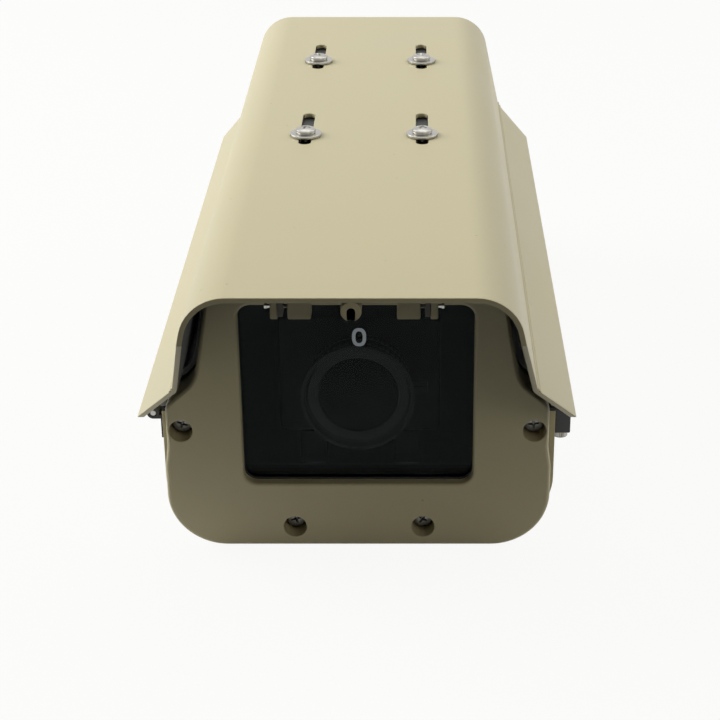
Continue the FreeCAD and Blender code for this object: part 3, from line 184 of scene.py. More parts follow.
def powder_coated_aluminium():
    """Polyester powder baked on aluminium: satin, with fine orange peel and the odd dust nib in the film."""
    colour = bpy.context.scene.housing_colours.powder_coat
    sizes = bpy.context.scene.housing_sizes
    material, tree, place = begin_material("powder_coated_aluminium")
    peel = add(tree, "ShaderNodeTexNoise", {"Vector": place, "Scale": 1 / sizes.peel, "Detail": 2.0})
    # Film thickness drifts over a hand's width, which shifts the tone a little
    drift = add(tree, "ShaderNodeTexNoise", {"Vector": place, "Scale": 1 / (40 * MM), "Detail": 2.0})
    tone = add(tree, "ShaderNodeMix", {0: drift.outputs["Fac"], 6: shade(colour, 0.95), 7: shade(colour, 1.04)},
               data_type="RGBA")
    # Pigment grains are under 0.1 mm and are drawn at 0.6 mm, so that they show
    grain = add(tree, "ShaderNodeTexNoise", {"Vector": place, "Scale": 1 / (0.6 * MM), "Detail": 1.0})
    grained = add(tree, "ShaderNodeMix", {0: grain.outputs["Fac"], 6: tone.outputs[2], 7: shade(colour, 0.985)},
                  data_type="RGBA")
    nibs = add(tree, "ShaderNodeTexVoronoi", {"Vector": place, "Scale": 1 / sizes.nib_spacing})
    reach = sizes.nib_radius / sizes.nib_spacing
    nib = add(tree, "ShaderNodeMapRange", {"Value": nibs.outputs["Distance"], "From Min": reach * 0.5,
                                           "From Max": reach, "To Min": 0.4, "To Max": 0.0})
    specked = add(tree, "ShaderNodeMix", {0: nib.outputs[0], 6: grained.outputs[2], 7: shade(colour, 0.45)},
                  data_type="RGBA")
    polish = add(tree, "ShaderNodeMapRange", {"Value": drift.outputs["Fac"], "To Min": 0.36, "To Max": 0.48})
    rippled = add(tree, "ShaderNodeBump", {"Height": peel.outputs["Fac"], "Strength": 0.35,
                                           "Distance": 0.035 * MM})
    raised = add(tree, "ShaderNodeBump", {"Height": nib.outputs[0], "Strength": 0.6, "Distance": 0.08 * MM,
                                          "Normal": rippled.outputs[0]})
    shader = add(tree, "ShaderNodeBsdfPrincipled", {
        "Base Color": specked.outputs[2], "Roughness": polish.outputs[0], "IOR": 1.4,
        "Normal": raised.outputs[0]})
    add(tree, "ShaderNodeOutputMaterial", {"Surface": shader.outputs[0]})
    return material


def black_stoved_enamel():
    """Black stoving enamel on steel: nearly matt, with soft worn patches."""
    colour = bpy.context.scene.housing_colours.enamel
    material, tree, place = begin_material("black_stoved_enamel")
    wear = add(tree, "ShaderNodeTexNoise", {"Vector": place, "Scale": 1 / (9 * MM), "Detail": 3.0})
    tone = add(tree, "ShaderNodeMix", {0: wear.outputs["Fac"], 6: shade(colour, 0.8), 7: shade(colour, 1.3)},
               data_type="RGBA")
    polish = add(tree, "ShaderNodeMapRange", {"Value": wear.outputs["Fac"], "To Min": 0.42, "To Max": 0.6})
    # The enamel's fine wrinkle, 0.5 mm wide
    wrinkle = add(tree, "ShaderNodeTexNoise", {"Vector": place, "Scale": 1 / (0.5 * MM), "Detail": 2.0})
    bump = add(tree, "ShaderNodeBump", {"Height": wrinkle.outputs["Fac"], "Strength": 0.4,
                                        "Distance": 0.02 * MM})
    shader = add(tree, "ShaderNodeBsdfPrincipled", {
        "Base Color": tone.outputs[2], "Roughness": polish.outputs[0], "IOR": 1.5, "Normal": bump.outputs[0]})
    add(tree, "ShaderNodeOutputMaterial", {"Surface": shader.outputs[0]})
    return material


def black_primer():
    """Black primer, sprayed thin: dead matt. On the camera's case it is the case's own black; on the sunshield's
    underside it is painted shade, a black sheet where only deep shade falls.
    """
    colour = bpy.context.scene.housing_colours.primer
    material, tree, place = begin_material("black_primer")
    spray = add(tree, "ShaderNodeTexNoise", {"Vector": place, "Scale": 1 / (12 * MM), "Detail": 3.0})
    tone = add(tree, "ShaderNodeMix", {0: spray.outputs["Fac"], 6: shade(colour, 0.85), 7: shade(colour, 1.2)},
               data_type="RGBA")
    shader = add(tree, "ShaderNodeBsdfPrincipled", {
        "Base Color": tone.outputs[2], "Roughness": 0.8, "IOR": 1.5})
    add(tree, "ShaderNodeOutputMaterial", {"Surface": shader.outputs[0]})
    return material


def turned_stainless_steel():
    """Stainless steel, cold headed and turned: bright, with fine tool lines that spread its highlights."""
    colour = bpy.context.scene.housing_colours.steel
    material, tree, place = begin_material("turned_stainless_steel")
    # Tool lines are about 0.05 mm apart and are drawn at 0.25 mm, so that they show
    lines = add(tree, "ShaderNodeTexNoise", {"Vector": place, "Scale": 1 / (0.25 * MM), "Detail": 2.0})
    stain = add(tree, "ShaderNodeTexNoise", {"Vector": place, "Scale": 1 / (3 * MM), "Detail": 2.0})
    tone = add(tree, "ShaderNodeMix", {0: stain.outputs["Fac"], 6: shade(colour, 0.82), 7: colour},
               data_type="RGBA")
    polish = add(tree, "ShaderNodeMapRange", {"Value": lines.outputs["Fac"], "To Min": 0.2, "To Max": 0.42})
    bump = add(tree, "ShaderNodeBump", {"Height": lines.outputs["Fac"], "Strength": 0.25,
                                        "Distance": 0.01 * MM})
    shader = add(tree, "ShaderNodeBsdfPrincipled", {
        "Base Color": tone.outputs[2], "Metallic": 1.0, "Roughness": polish.outputs[0],
        "Normal": bump.outputs[0]})
    add(tree, "ShaderNodeOutputMaterial", {"Surface": shader.outputs[0]})
    return material


def blackened_steel():
    """Steel blacked in hot oxide: dark and satin, worn browner in places."""
    colour = bpy.context.scene.housing_colours.black_oxide
    material, tree, place = begin_material("blackened_steel")
    wear = add(tree, "ShaderNodeTexNoise", {"Vector": place, "Scale": 1 / (0.8 * MM), "Detail": 3.0})
    tone = add(tree, "ShaderNodeMix", {0: wear.outputs["Fac"], 6: shade(colour, 0.6), 7: shade(colour, 1.2)},
               data_type="RGBA")
    polish = add(tree, "ShaderNodeMapRange", {"Value": wear.outputs["Fac"], "To Min": 0.4, "To Max": 0.55})
    shader = add(tree, "ShaderNodeBsdfPrincipled", {
        "Base Color": tone.outputs[2], "Metallic": 1.0, "Roughness": polish.outputs[0]})
    add(tree, "ShaderNodeOutputMaterial", {"Surface": shader.outputs[0]})
    return material


def moulded_rubber(name="moulded_rubber", tint="rubber"):
    """Moulded rubber: matt, with a dusty bloom in patches."""
    colour = getattr(bpy.context.scene.housing_colours, tint)
    material, tree, place = begin_material(name)
    bloom = add(tree, "ShaderNodeTexNoise", {"Vector": place, "Scale": 1 / (5 * MM), "Detail": 4.0})
    tone = add(tree, "ShaderNodeMix", {0: bloom.outputs["Fac"], 6: shade(colour, 0.8), 7: shade(colour, 1.7)},
               data_type="RGBA")
    bump = add(tree, "ShaderNodeBump", {"Height": bloom.outputs["Fac"], "Strength": 0.3,
                                        "Distance": 0.05 * MM})
    shader = add(tree, "ShaderNodeBsdfPrincipled", {
        "Base Color": tone.outputs[2], "Roughness": 0.78, "IOR": 1.5, "Normal": bump.outputs[0]})
    add(tree, "ShaderNodeOutputMaterial", {"Surface": shader.outputs[0]})
    return material


def grey_silicone_rubber():
    """Silicone rubber, moulded in grey: as matt as the black rubber and much paler."""
    return moulded_rubber("grey_silicone_rubber", "grey_rubber")


def moulded_nylon():
    """Glass-filled nylon, injection moulded: black with a spark-eroded grain that breaks up its sheen."""
    colour = bpy.context.scene.housing_colours.nylon
    material, tree, place = begin_material("moulded_nylon")
    grain = add(tree, "ShaderNodeTexNoise", {"Vector": place, "Scale": 1 / (0.35 * MM), "Detail": 2.0})
    flow = add(tree, "ShaderNodeTexNoise", {"Vector": place, "Scale": 1 / (7 * MM), "Detail": 2.0})
    tone = add(tree, "ShaderNodeMix", {0: flow.outputs["Fac"], 6: shade(colour, 0.85), 7: shade(colour, 1.35)},
               data_type="RGBA")
    polish = add(tree, "ShaderNodeMapRange", {"Value": grain.outputs["Fac"], "To Min": 0.36, "To Max": 0.56})
    bump = add(tree, "ShaderNodeBump", {"Height": grain.outputs["Fac"], "Strength": 0.4,
                                        "Distance": 0.02 * MM})
    shader = add(tree, "ShaderNodeBsdfPrincipled", {
        "Base Color": tone.outputs[2], "Roughness": polish.outputs[0], "IOR": 1.53, "Normal": bump.outputs[0]})
    add(tree, "ShaderNodeOutputMaterial", {"Surface": shader.outputs[0]})
    return material


def mill_finish_aluminium():
    """Bare extruded aluminium: pale grey, with die lines that run along the housing."""
    colour = bpy.context.scene.housing_colours.aluminium
    material, tree, place = begin_material("mill_finish_aluminium")
    # Die lines are 0.4 mm apart across the bar and 60 mm long
    stretched = add(tree, "ShaderNodeMapping", {"Vector": place, "Scale": (1 / (0.4 * MM), 1 / (60 * MM),
                                                                           1 / (0.4 * MM))})
    lines = add(tree, "ShaderNodeTexNoise", {"Vector": stretched.outputs[0], "Scale": 1.0, "Detail": 2.0})
    tone = add(tree, "ShaderNodeMix", {0: lines.outputs["Fac"], 6: shade(colour, 0.85), 7: colour},
               data_type="RGBA")
    polish = add(tree, "ShaderNodeMapRange", {"Value": lines.outputs["Fac"], "To Min": 0.3, "To Max": 0.46})
    bump = add(tree, "ShaderNodeBump", {"Height": lines.outputs["Fac"], "Strength": 0.3,
                                        "Distance": 0.015 * MM})
    shader = add(tree, "ShaderNodeBsdfPrincipled", {
        "Base Color": tone.outputs[2], "Metallic": 1.0, "Roughness": polish.outputs[0],
        "Normal": bump.outputs[0]})
    add(tree, "ShaderNodeOutputMaterial", {"Surface": shader.outputs[0]})
    return material


def grey_primer():
    """Grey primer on aluminium: matt, and a plain grey next to the warm powder coat. On the window's frame it is the
    frame's own finish; on the lid it is painted shade, a grey put where the lid lies in the deep shade under the
    sunshield.
    """
    colour = bpy.context.scene.housing_colours.grey_primer
    material, tree, place = begin_material("grey_primer")
    cloud = add(tree, "ShaderNodeTexNoise", {"Vector": place, "Scale": 1 / (6 * MM), "Detail": 3.0})
    tone = add(tree, "ShaderNodeMix", {0: cloud.outputs["Fac"], 6: shade(colour, 0.92), 7: colour},
               data_type="RGBA")
    shader = add(tree, "ShaderNodeBsdfPrincipled", {
        "Base Color": tone.outputs[2], "Roughness": 0.75, "IOR": 1.5})
    add(tree, "ShaderNodeOutputMaterial", {"Surface": shader.outputs[0]})
    return material


def coated_float_glass():
    """Float glass with an antireflection coating: clear, its reflections weakened by the coating."""
    colour = bpy.context.scene.housing_colours.glass
    material, tree, place = begin_material("coated_float_glass")
    haze = add(tree, "ShaderNodeTexNoise", {"Vector": place, "Scale": 1 / (14 * MM), "Detail": 4.0})
    film = add(tree, "ShaderNodeMapRange", {"Value": haze.outputs["Fac"], "To Min": 0.0, "To Max": 0.02})
    shader = add(tree, "ShaderNodeBsdfPrincipled", {
        "Base Color": colour, "Roughness": film.outputs[0], "IOR": 1.52,
        "Specular Tint": linear("#4c5252"), "Transmission Weight": 1.0})
    add(tree, "ShaderNodeOutputMaterial", {"Surface": shader.outputs[0]})
    return material


def coated_lens_glass():
    """Polished optical glass with a multilayer coating: nearly black, with dim cool reflections."""
    colour = bpy.context.scene.housing_colours.lens_coating
    material, tree, place = begin_material("coated_lens_glass")
    layers = add(tree, "ShaderNodeTexNoise", {"Vector": place, "Scale": 1 / (16 * MM), "Detail": 0.0})
    depths = add(tree, "ShaderNodeMix", {0: layers.outputs["Fac"], 6: shade(colour, 0.04),
                                         7: shade(colour, 0.12)}, data_type="RGBA")
    shader = add(tree, "ShaderNodeBsdfPrincipled", {
        "Base Color": depths.outputs[2], "Roughness": 0.03, "IOR": 1.6, "Specular Tint": colour})
    add(tree, "ShaderNodeOutputMaterial", {"Surface": shader.outputs[0]})
    return material


def pressed_melamine():
    """Melamine, compression moulded: cream, hard and faintly cloudy."""
    colour = bpy.context.scene.housing_colours.melamine
    material, tree, place = begin_material("pressed_melamine")
    cloud = add(tree, "ShaderNodeTexNoise", {"Vector": place, "Scale": 1 / (2.5 * MM), "Detail": 3.0})
    tone = add(tree, "ShaderNodeMix", {0: cloud.outputs["Fac"], 6: shade(colour, 0.88), 7: colour},
               data_type="RGBA")
    shader = add(tree, "ShaderNodeBsdfPrincipled", {
        "Base Color": tone.outputs[2], "Roughness": 0.34, "IOR": 1.57})
    add(tree, "ShaderNodeOutputMaterial", {"Surface": shader.outputs[0]})
    return material


def turned_brass():
    """Turned brass: warm yellow, dulled by handling."""
    colour = bpy.context.scene.housing_colours.brass
    material, tree, place = begin_material("turned_brass")
    dulled = add(tree, "ShaderNodeTexNoise", {"Vector": place, "Scale": 1 / (0.8 * MM), "Detail": 3.0})
    tone = add(tree, "ShaderNodeMix", {0: dulled.outputs["Fac"], 6: shade(colour, 0.7), 7: colour},
               data_type="RGBA")
    polish = add(tree, "ShaderNodeMapRange", {"Value": dulled.outputs["Fac"], "To Min": 0.25, "To Max": 0.5})
    shader = add(tree, "ShaderNodeBsdfPrincipled", {
        "Base Color": tone.outputs[2], "Metallic": 1.0, "Roughness": polish.outputs[0]})
    add(tree, "ShaderNodeOutputMaterial", {"Surface": shader.outputs[0]})
    return material


def pad_printed_ink():
    """Pad-printed silver ink: metal flakes in lacquer, which gleam softly, a little thin in places."""
    colour = bpy.context.scene.housing_colours.ink
    material, tree, place = begin_material("pad_printed_ink")
    thin = add(tree, "ShaderNodeTexNoise", {"Vector": place, "Scale": 1 / (0.6 * MM), "Detail": 2.0})
    tone = add(tree, "ShaderNodeMix", {0: thin.outputs["Fac"], 6: shade(colour, 0.8), 7: colour},
               data_type="RGBA")
    shader = add(tree, "ShaderNodeBsdfPrincipled", {
        "Base Color": tone.outputs[2], "Metallic": 1.0, "Roughness": 0.4})
    add(tree, "ShaderNodeOutputMaterial", {"Surface": shader.outputs[0]})
    return material


MAKERS = {
    "powder": powder_coated_aluminium,
    "primer": black_primer,
    "enamel": black_stoved_enamel,
    "steel": turned_stainless_steel,
    "black_steel": blackened_steel,
    "rubber": moulded_rubber,
    "grey_rubber": grey_silicone_rubber,
    "nylon": moulded_nylon,
    "aluminium": mill_finish_aluminium,
    "grey_primer": grey_primer,
    "window": coated_float_glass,
    "lens": coated_lens_glass,
    "melamine": pressed_melamine,
    "brass": turned_brass,
    "ink": pad_printed_ink,
}
finishes = {}


def finish(name):
    """The material of one finish, made when it is first asked for."""
    if name not in finishes:
        finishes[name] = MAKERS[name]()
    return finishes[name]


# Mesh helpers
def object_from(form, name):
    """An object in the scene from a bmesh, smooth but for its sharp edges."""
    bmesh.ops.recalc_face_normals(form, faces=form.faces)
    mesh = bpy.data.meshes.new(name)
    form.to_mesh(mesh)
    form.free()
    mesh.shade_smooth()
    mesh.set_sharp_from_angle(angle=SHARP_ANGLE)
    piece = bpy.data.objects.new(name, mesh)
    bpy.context.scene.collection.objects.link(piece)
    return piece


def dress(piece, finish_name, *nodes, body=None):
    """Gives a new piece its finish and its body; it stands for the CAD nodes named."""
    piece.data.materials.clear()
    piece.data.materials.append(finish(finish_name))
    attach(piece, body or BODY_OF[nodes[0]])
    if nodes:
        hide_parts(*nodes)
    return piece


def coat(node, finish_name):
    """Puts a finish on a CAD node that keeps its own shape."""
    for slot in frame["nodes"][node].material_slots:
        slot.material = finish(finish_name)


def solid_boxes(node):
    """The lowest and highest corner of each separate solid in a CAD node, in order along X, Y and Z."""
    form = bmesh.new()
    form.from_mesh(frame["nodes"][node].data)
    bmesh.ops.remove_doubles(form, verts=form.verts, dist=WELD)
    boxes, seen = [], set()
    for first in form.verts:
        if first in seen:
            continue
        seen.add(first)
        waiting, places = [first], []
        while waiting:
            vertex = waiting.pop()
            places.append(vertex.co.copy())
            for edge in vertex.link_edges:
                other = edge.other_vert(vertex)
                if other not in seen:
                    seen.add(other)
                    waiting.append(other)
        low = Vector(min(place[i] for place in places) for i in range(3))
        high = Vector(max(place[i] for place in places) for i in range(3))
        boxes.append((low, high))
    form.free()
    return sorted(boxes, key=lambda box: [round(value, 5) for value in box[0]])


def softened(node, name, edge_round, finish_name):
    """The node's own form with its outer edges rounded, as paint, casting or deburring leaves them."""
    form = bmesh.new()
    form.from_mesh(frame["nodes"][node].data)
    bmesh.ops.remove_doubles(form, verts=form.verts, dist=WELD)
    bmesh.ops.dissolve_limit(form, angle_limit=FLAT_ANGLE, verts=form.verts, edges=form.edges)
    bmesh.ops.recalc_face_normals(form, faces=form.faces)
    sharp = [edge for edge in form.edges
             if edge.is_manifold and edge.is_convex and edge.calc_face_angle() > SHARP_ANGLE]
    bmesh.ops.bevel(form, geom=sharp, offset=edge_round, offset_type="OFFSET", segments=2, profile=0.5,
                    affect="EDGES", clamp_overlap=False)
    # Slanted faces can push a rounded corner a hair outside the solid
    low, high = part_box(node)
    for vertex in form.verts:
        vertex.co = Vector(min(max(vertex.co[i], low[i]), high[i]) for i in range(3))
    piece = object_from(form, name)
    weighted = piece.modifiers.new("face_weighted_shading", "WEIGHTED_NORMAL")
    weighted.keep_sharp = True
    return dress(piece, finish_name, node)


def turned(rows, steps=48, radius_at=None, ring=False):
    """A turned form about Z from (height, radius) rows; ring joins the last row to the first.
    radius_at(angle, height, radius) may vary the radius, as a thread or a knurl does."""
    form = bmesh.new()
    loops = []
    for height, radius in rows:
        if radius == 0:
            loops.append([form.verts.new((0, 0, height))])
            continue
        loop = []
        for index in range(steps):
            angle = FULL_TURN * index / steps
            reach = radius_at(angle, height, radius) if radius_at else radius
            loop.append(form.verts.new((reach * math.cos(angle), reach * math.sin(angle), height)))
        loops.append(loop)
    pairs = list(zip(loops, loops[1:]))
    if ring:
        pairs.append((loops[-1], loops[0]))
    for low, high in pairs:
        for index in range(steps):
            after = (index + 1) % steps
            corners = [low[index % len(low)], low[after % len(low)], high[after % len(high)],
                       high[index % len(high)]]
            form.faces.new(list(dict.fromkeys(corners)))
    return form


def rounded_rows(rows, corner, steps=3):
    """Rows of a turned outline with each inner corner cut by a small arc of points."""
    points = [Vector(row) for row in rows]
    result = [rows[0]]
    for before, middle, after in zip(points, points[1:], points[2:]):
        back = min(corner, (before - middle).length / 2)
        ahead = min(corner, (after - middle).length / 2)
        start = middle + (before - middle).normalized() * back
        end = middle + (after - middle).normalized() * ahead
        for index in range(steps + 1):
            share = index / steps
            bend = start.lerp(middle, share).lerp(middle.lerp(end, share), share)
            result.append((bend.x, bend.y))
    return result + [rows[-1]]


def threaded(start, end, pitch, depth):
    """A radius rule that cuts a helical thread between two heights."""
    def radius_at(angle, height, radius):
        if not start <= height <= end:
            return radius
        phase = (height / pitch - angle / FULL_TURN) % 1.0
        return radius - depth * abs(2 * phase - 1)
    return radius_at


def thread_rows(start, end, radius, pitch):
    """Rows close enough together to carry a thread."""
    count = max(int((end - start) / pitch * 4), 1)
    return [(start + (end - start) * index / count, radius) for index in range(count + 1)]


def knurled(low, high, teeth, depth):
    """A radius rule that cuts straight grip ribs between two heights."""
    def radius_at(angle, height, radius):
        if not low < height < high:
            return radius
        return radius - depth * (0.5 + 0.5 * math.cos(angle * teeth))
    return radius_at


def cross_cutter(reach, width, top, depth):
    """A tapered cross that cuts a driver's recess down from a screw's head."""
    form = bmesh.new()
    outline = []
    for quarter in range(4):
        turn = Matrix.Rotation(quarter * math.pi / 2, 2)
        for corner in ((reach, -width / 2), (reach, width / 2), (width / 2, width / 2)):
            outline.append(turn @ Vector(corner))
    loops = []
    for height, share in ((top, 1.0), (top + depth, 0.45)):
        loops.append([form.verts.new((*(corner * share), height)) for corner in outline])
    form.faces.new(loops[0])
    form.faces.new(loops[1])
    for index in range(len(outline)):
        after = (index + 1) % len(outline)
        form.faces.new([loops[0][index], loops[0][after], loops[1][after], loops[1][index]])
    return form


def slot_cutter(length, width, top, depth):
    """A straight slot across a screw's head."""
    form = bmesh.new()
    bmesh.ops.create_cube(form, size=1.0)
    bmesh.ops.scale(form, vec=(length, width, depth * 2), verts=form.verts)
    bmesh.ops.translate(form, vec=(0, 0, top), verts=form.verts)
    return form


def carved(form, cutter):
    """The mesh of a form with a cutter taken out of it."""
    body, tool = object_from(form, "blank"), object_from(cutter, "cutter")
    boolean = body.modifiers.new("carve", "BOOLEAN")
    boolean.operation = "DIFFERENCE"
    boolean.solver = "EXACT"
    boolean.object = tool
    bpy.context.view_layer.update()
    evaluated = body.evaluated_get(bpy.context.evaluated_depsgraph_get())
    mesh = bpy.data.meshes.new_from_object(evaluated)
    bpy.data.objects.remove(body)
    bpy.data.objects.remove(tool)
    return mesh


def repeated(name, mesh, places):
    """One object that holds the same mesh at each place."""
    form = bmesh.new()
    for place in places:
        known = len(form.verts)
        form.from_mesh(mesh)
        form.verts.ensure_lookup_table()
        bmesh.ops.transform(form, matrix=place, verts=form.verts[known:])
    return object_from(form, name)


def mesh_from(form):
    mesh = bpy.data.meshes.new("blank")
    form.to_mesh(mesh)
    form.free()
    return mesh


# Screws
def screw_mesh(head, height, shank, length, pitch, depth, drive="cross", dome=0.0, grip=0):
    """A screw with its head below the origin and its threaded shank up along +Z."""
    crown = [(-height + dome * (share / 4) ** 2, head * 0.86 * share / 4) for share in range(5)]
    rows = [(crown[0][0], 0.0)] + crown[1:]
    edge = (head * 0.14) if not grip else head * 0.08
    rows += [(rows[-1][0] + edge * 0.35, head - edge * 0.3), (rows[-1][0] + edge, head)]
    if grip:
        rows += [(rows[-1][0] + 0.02 * MM, head), (-edge - 0.02 * MM, head)]
    rows += [(-edge, head), (0.0, head - edge * 0.6), (0.0, shank)]
    neck = min(1.2 * MM, length * 0.2)
    rows += [(neck, shank)] + thread_rows(neck, length - depth, shank, pitch) + [(length, shank - depth), (length, 0.0)]
    thread = threaded(neck, length - depth, pitch, depth)
    knurl = knurled(rows[6][0] + 0.01 * MM, -edge, grip, head * 0.09) if grip else None

    def radius_at(angle, level, radius):
        if level < 0:
            return knurl(angle, level, radius) if knurl else radius
        return thread(angle, level, radius)

    form = turned(rows, steps=max(32, grip * 4), radius_at=radius_at)
    if drive == "cross":
        cutter = cross_cutter(head * 0.62, head * 0.26, -height - 0.1 * MM, height * 0.55)
    else:
        cutter = slot_cutter(head * 2.2, head * 0.3, -height, height * 0.3)
    return carved(form, cutter)


def turned_places(points, facing, first=0.35, step=0.9):
    """A place for each screw, every one stopped at its own angle as a driver leaves it."""
    return [Matrix.Translation(point) @ facing @ Matrix.Rotation(first + step * index, 4, "Z")
            for index, point in enumerate(points)]


def plate_screws():
    """Recessed cross-head screws of both end plates."""
    sizes = bpy.context.scene.housing_sizes
    head, height, shank = 3.4 * MM, 3.0 * MM, 2.0 * MM
    for end, facing in (("front", FACING_FRONT), ("rear", FACING_REAR)):
        node = end + "_plate_screws"
        points = []
        for low, high in solid_boxes(node):
            middle = (low + high) / 2
            under_head = low.y + height if end == "front" else high.y - height
            points.append(Vector((middle.x, under_head, middle.z)))
        length = solid_boxes(node)[0][1].y - solid_boxes(node)[0][0].y - height
        mesh = screw_mesh(head, height, shank, length, sizes.plate_thread, sizes.thread_depth, dome=0.35 * MM)
        dress(repeated(end + "_plate_cross_screws", mesh, turned_places(points, facing)), "black_steel",
              node)


def shield_fixings():
    """Pan-head screws and washers on top of the sunshield, with the rails and strips that carry it."""
    sizes = bpy.context.scene.housing_sizes
    head, height, shank = 3.8 * MM, 2.4 * MM, 2.0 * MM
    boxes = solid_boxes("shield_screws")
    points = [Vector(((low.x + high.x) / 2, (low.y + high.y) / 2, high.z - height)) for low, high in boxes]
    length = boxes[0][1].z - boxes[0][0].z - height
    mesh = screw_mesh(head, height, shank, length, sizes.plate_thread, sizes.thread_depth, dome=0.7 * MM)
    dress(repeated("shield_pan_screws", mesh, turned_places(points, FACING_UP)), "steel", "shield_screws")
    boxes = solid_boxes("shield_washers")
    low, high = boxes[0]
    outer, thick = (high.x - low.x) / 2, high.z - low.z
    rows = rounded_rows([(thick / 2, 2.05 * MM), (0, 2.05 * MM), (0, outer), (thick, outer),
                         (thick, 2.05 * MM), (thick / 2, 2.05 * MM)], 0.2 * MM)
    washer = mesh_from(turned(rows, steps=64, ring=True))
    places = [Matrix.Translation(((low.x + high.x) / 2, (low.y + high.y) / 2, low.z)) for low, high in boxes]
    dress(repeated("shield_flat_washers", washer, places), "steel", "shield_washers")
    for side in SIDES:
        softened("shield_rail_" + side, "extruded_rail_" + side, sizes.small_round, "aluminium")
        softened("slide_strip_" + side, "nylon_strip_" + side, sizes.small_round, "nylon")


# Housing shells
def sunshield():
    """The flared sunshield: powder coated outside, and matt black primer underneath as painted shade, for the deep
    shade under it.
    """
    piece = softened("sunshield", "flared_sunshield", bpy.context.scene.housing_sizes.sheet_round, "powder")
    piece.data.materials.append(finish("primer"))
    low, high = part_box("sunshield")
    inside = Vector((0, 0, low.z))
    channel_half_width = 3.6 * MM
    # Painted shade: faces under the sunshield that face inward get the black primer; the front rim and the channel keep
    # the powder coat.
    for face in piece.data.polygons:
        inward = inside - face.center
        across = Vector((inward.x, 0, inward.z)).normalized()
        if abs(face.normal.y) < 0.5 and face.normal.dot(across) > 0.3 and abs(face.center.x) > channel_half_width:
            face.material_index = 1


def end_plates():
    """The two die-cast end plates with their machined window, recesses and rims."""
    for end in ENDS:
        softened(end + "_plate", end + "_casting", bpy.context.scene.housing_sizes.cast_round, "powder")


def lid_and_trough():
    """The extruded lid and lower trough."""
    sizes = bpy.context.scene.housing_sizes
    # The lid's grey primer is painted shade: it stands in for the deep shade in the gap under the sunshield.
    softened("lid", "hinged_lid", sizes.sheet_round, "grey_primer")
    softened("base_trough", "lower_trough", sizes.small_round, "powder")


def gaskets():
    """Rubber between lid, trough, plates and glass."""
    for node in ("front_plate_gasket", "rear_plate_gasket", "lid_gasket", "window_gasket"):
        coat(node, "rubber")


def rivet_mesh(head, height, shank, length):
    """A rivet with a domed head below the origin and its shank up along +Z."""
    rows = []
    for index in range(9):
        angle = math.pi / 2 * index / 8
        rows.append((-height * math.cos(angle), head * math.sin(angle)))
    rows[0] = (-height, 0.0)
    rows += [(0.0, shank), (length, shank), (length, 0.0)]
    return mesh_from(turned(rows, steps=36))


def hinges():
    """Two leaf hinges with their pins and domed rivets."""
    sizes = bpy.context.scene.housing_sizes
    for end in ENDS:
        for leaf in ("base", "lid"):
            node = "hinge_%s_%s_leaf" % (end, leaf)
            softened(node, "%s_hinge_%s_leaf" % (end, leaf), sizes.small_round, "enamel")
        node = "hinge_%s_pin" % end
        low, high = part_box(node)
        radius, length = (high.x - low.x) / 2, high.y - low.y
        rows = rounded_rows([(0, 0), (0, radius), (length, radius), (length, 0)], radius * 0.5)
        form = turned(rows, steps=32)
        place = Matrix.Translation(((low.x + high.x) / 2, low.y, (low.z + high.z) / 2)) @ FACING_FRONT
        bmesh.ops.transform(form, matrix=place, verts=form.verts)
        dress(object_from(form, end + "_hinge_pin"), "steel", node)
    head, height, shank = 1.9 * MM, 0.9 * MM, 1.2 * MM
    for side in ("base", "lid"):
        node = side + "_hinge_rivets"
        boxes = solid_boxes(node)
        length = boxes[0][1].x - boxes[0][0].x - height
        places = [Matrix.Translation((low.x + height, (low.y + high.y) / 2, (low.z + high.z) / 2)) @ FACING_LEFT
                  for low, high in boxes]
        mesh = rivet_mesh(head, height, shank, length)
        dress(repeated(side + "_domed_rivets", mesh, places), "steel", node)


def lid_screws():
    """Lugs on the side away from the hinges, and the knurled screws that hold the lid down."""
    sizes = bpy.context.scene.housing_sizes
    for end in ENDS:
        for part in ("base", "lid"):
            softened("%s_lug_%s" % (part, end), "%s_%s_lug" % (end, part), sizes.cast_round, "enamel")
    head, height, shank = 2.6 * MM, 5.0 * MM, 2.0 * MM
    boxes = solid_boxes("lid_screws")
    points = [Vector(((low.x + high.x) / 2, (low.y + high.y) / 2, low.z + height)) for low, high in boxes]
    length = boxes[0][1].z - boxes[0][0].z - height
    mesh = screw_mesh(head, height, shank, length, sizes.plate_thread, sizes.thread_depth, drive="slot",
                      dome=0.3 * MM, grip=24)
    dress(repeated("knurled_lid_screws", mesh, turned_places(points, FACING_DOWN)), "steel", "lid_screws")


def stop_brackets():
    """Folded brackets at the sunshield's front with their rubber strips and small screws."""
    sizes = bpy.context.scene.housing_sizes
    for side in SIDES:
        softened("stop_bracket_" + side, "folded_stop_" + side, sizes.bracket_round, "powder")
        softened("stop_buffer_" + side, "rubber_buffer_" + side, sizes.small_round, "grey_rubber")
    head, height, shank = 0.9 * MM, 1.1 * MM, 0.7 * MM
    places = []
    for low, high in solid_boxes("stop_screws"):
        middle = (low + high) / 2
        outside, facing = (high.x, FACING_RIGHT) if middle.x > 0 else (low.x, FACING_LEFT)
        under_head = outside - math.copysign(height, middle.x)
        places.append(Matrix.Translation((under_head, middle.y, middle.z)) @ facing)
    low, high = solid_boxes("stop_screws")[0]
    mesh = screw_mesh(head, height, shank, high.x - low.x - height, sizes.small_thread, 0.15 * MM,
                      dome=0.25 * MM)
    dress(repeated("stop_pan_screws", mesh, places), "steel", "stop_screws")


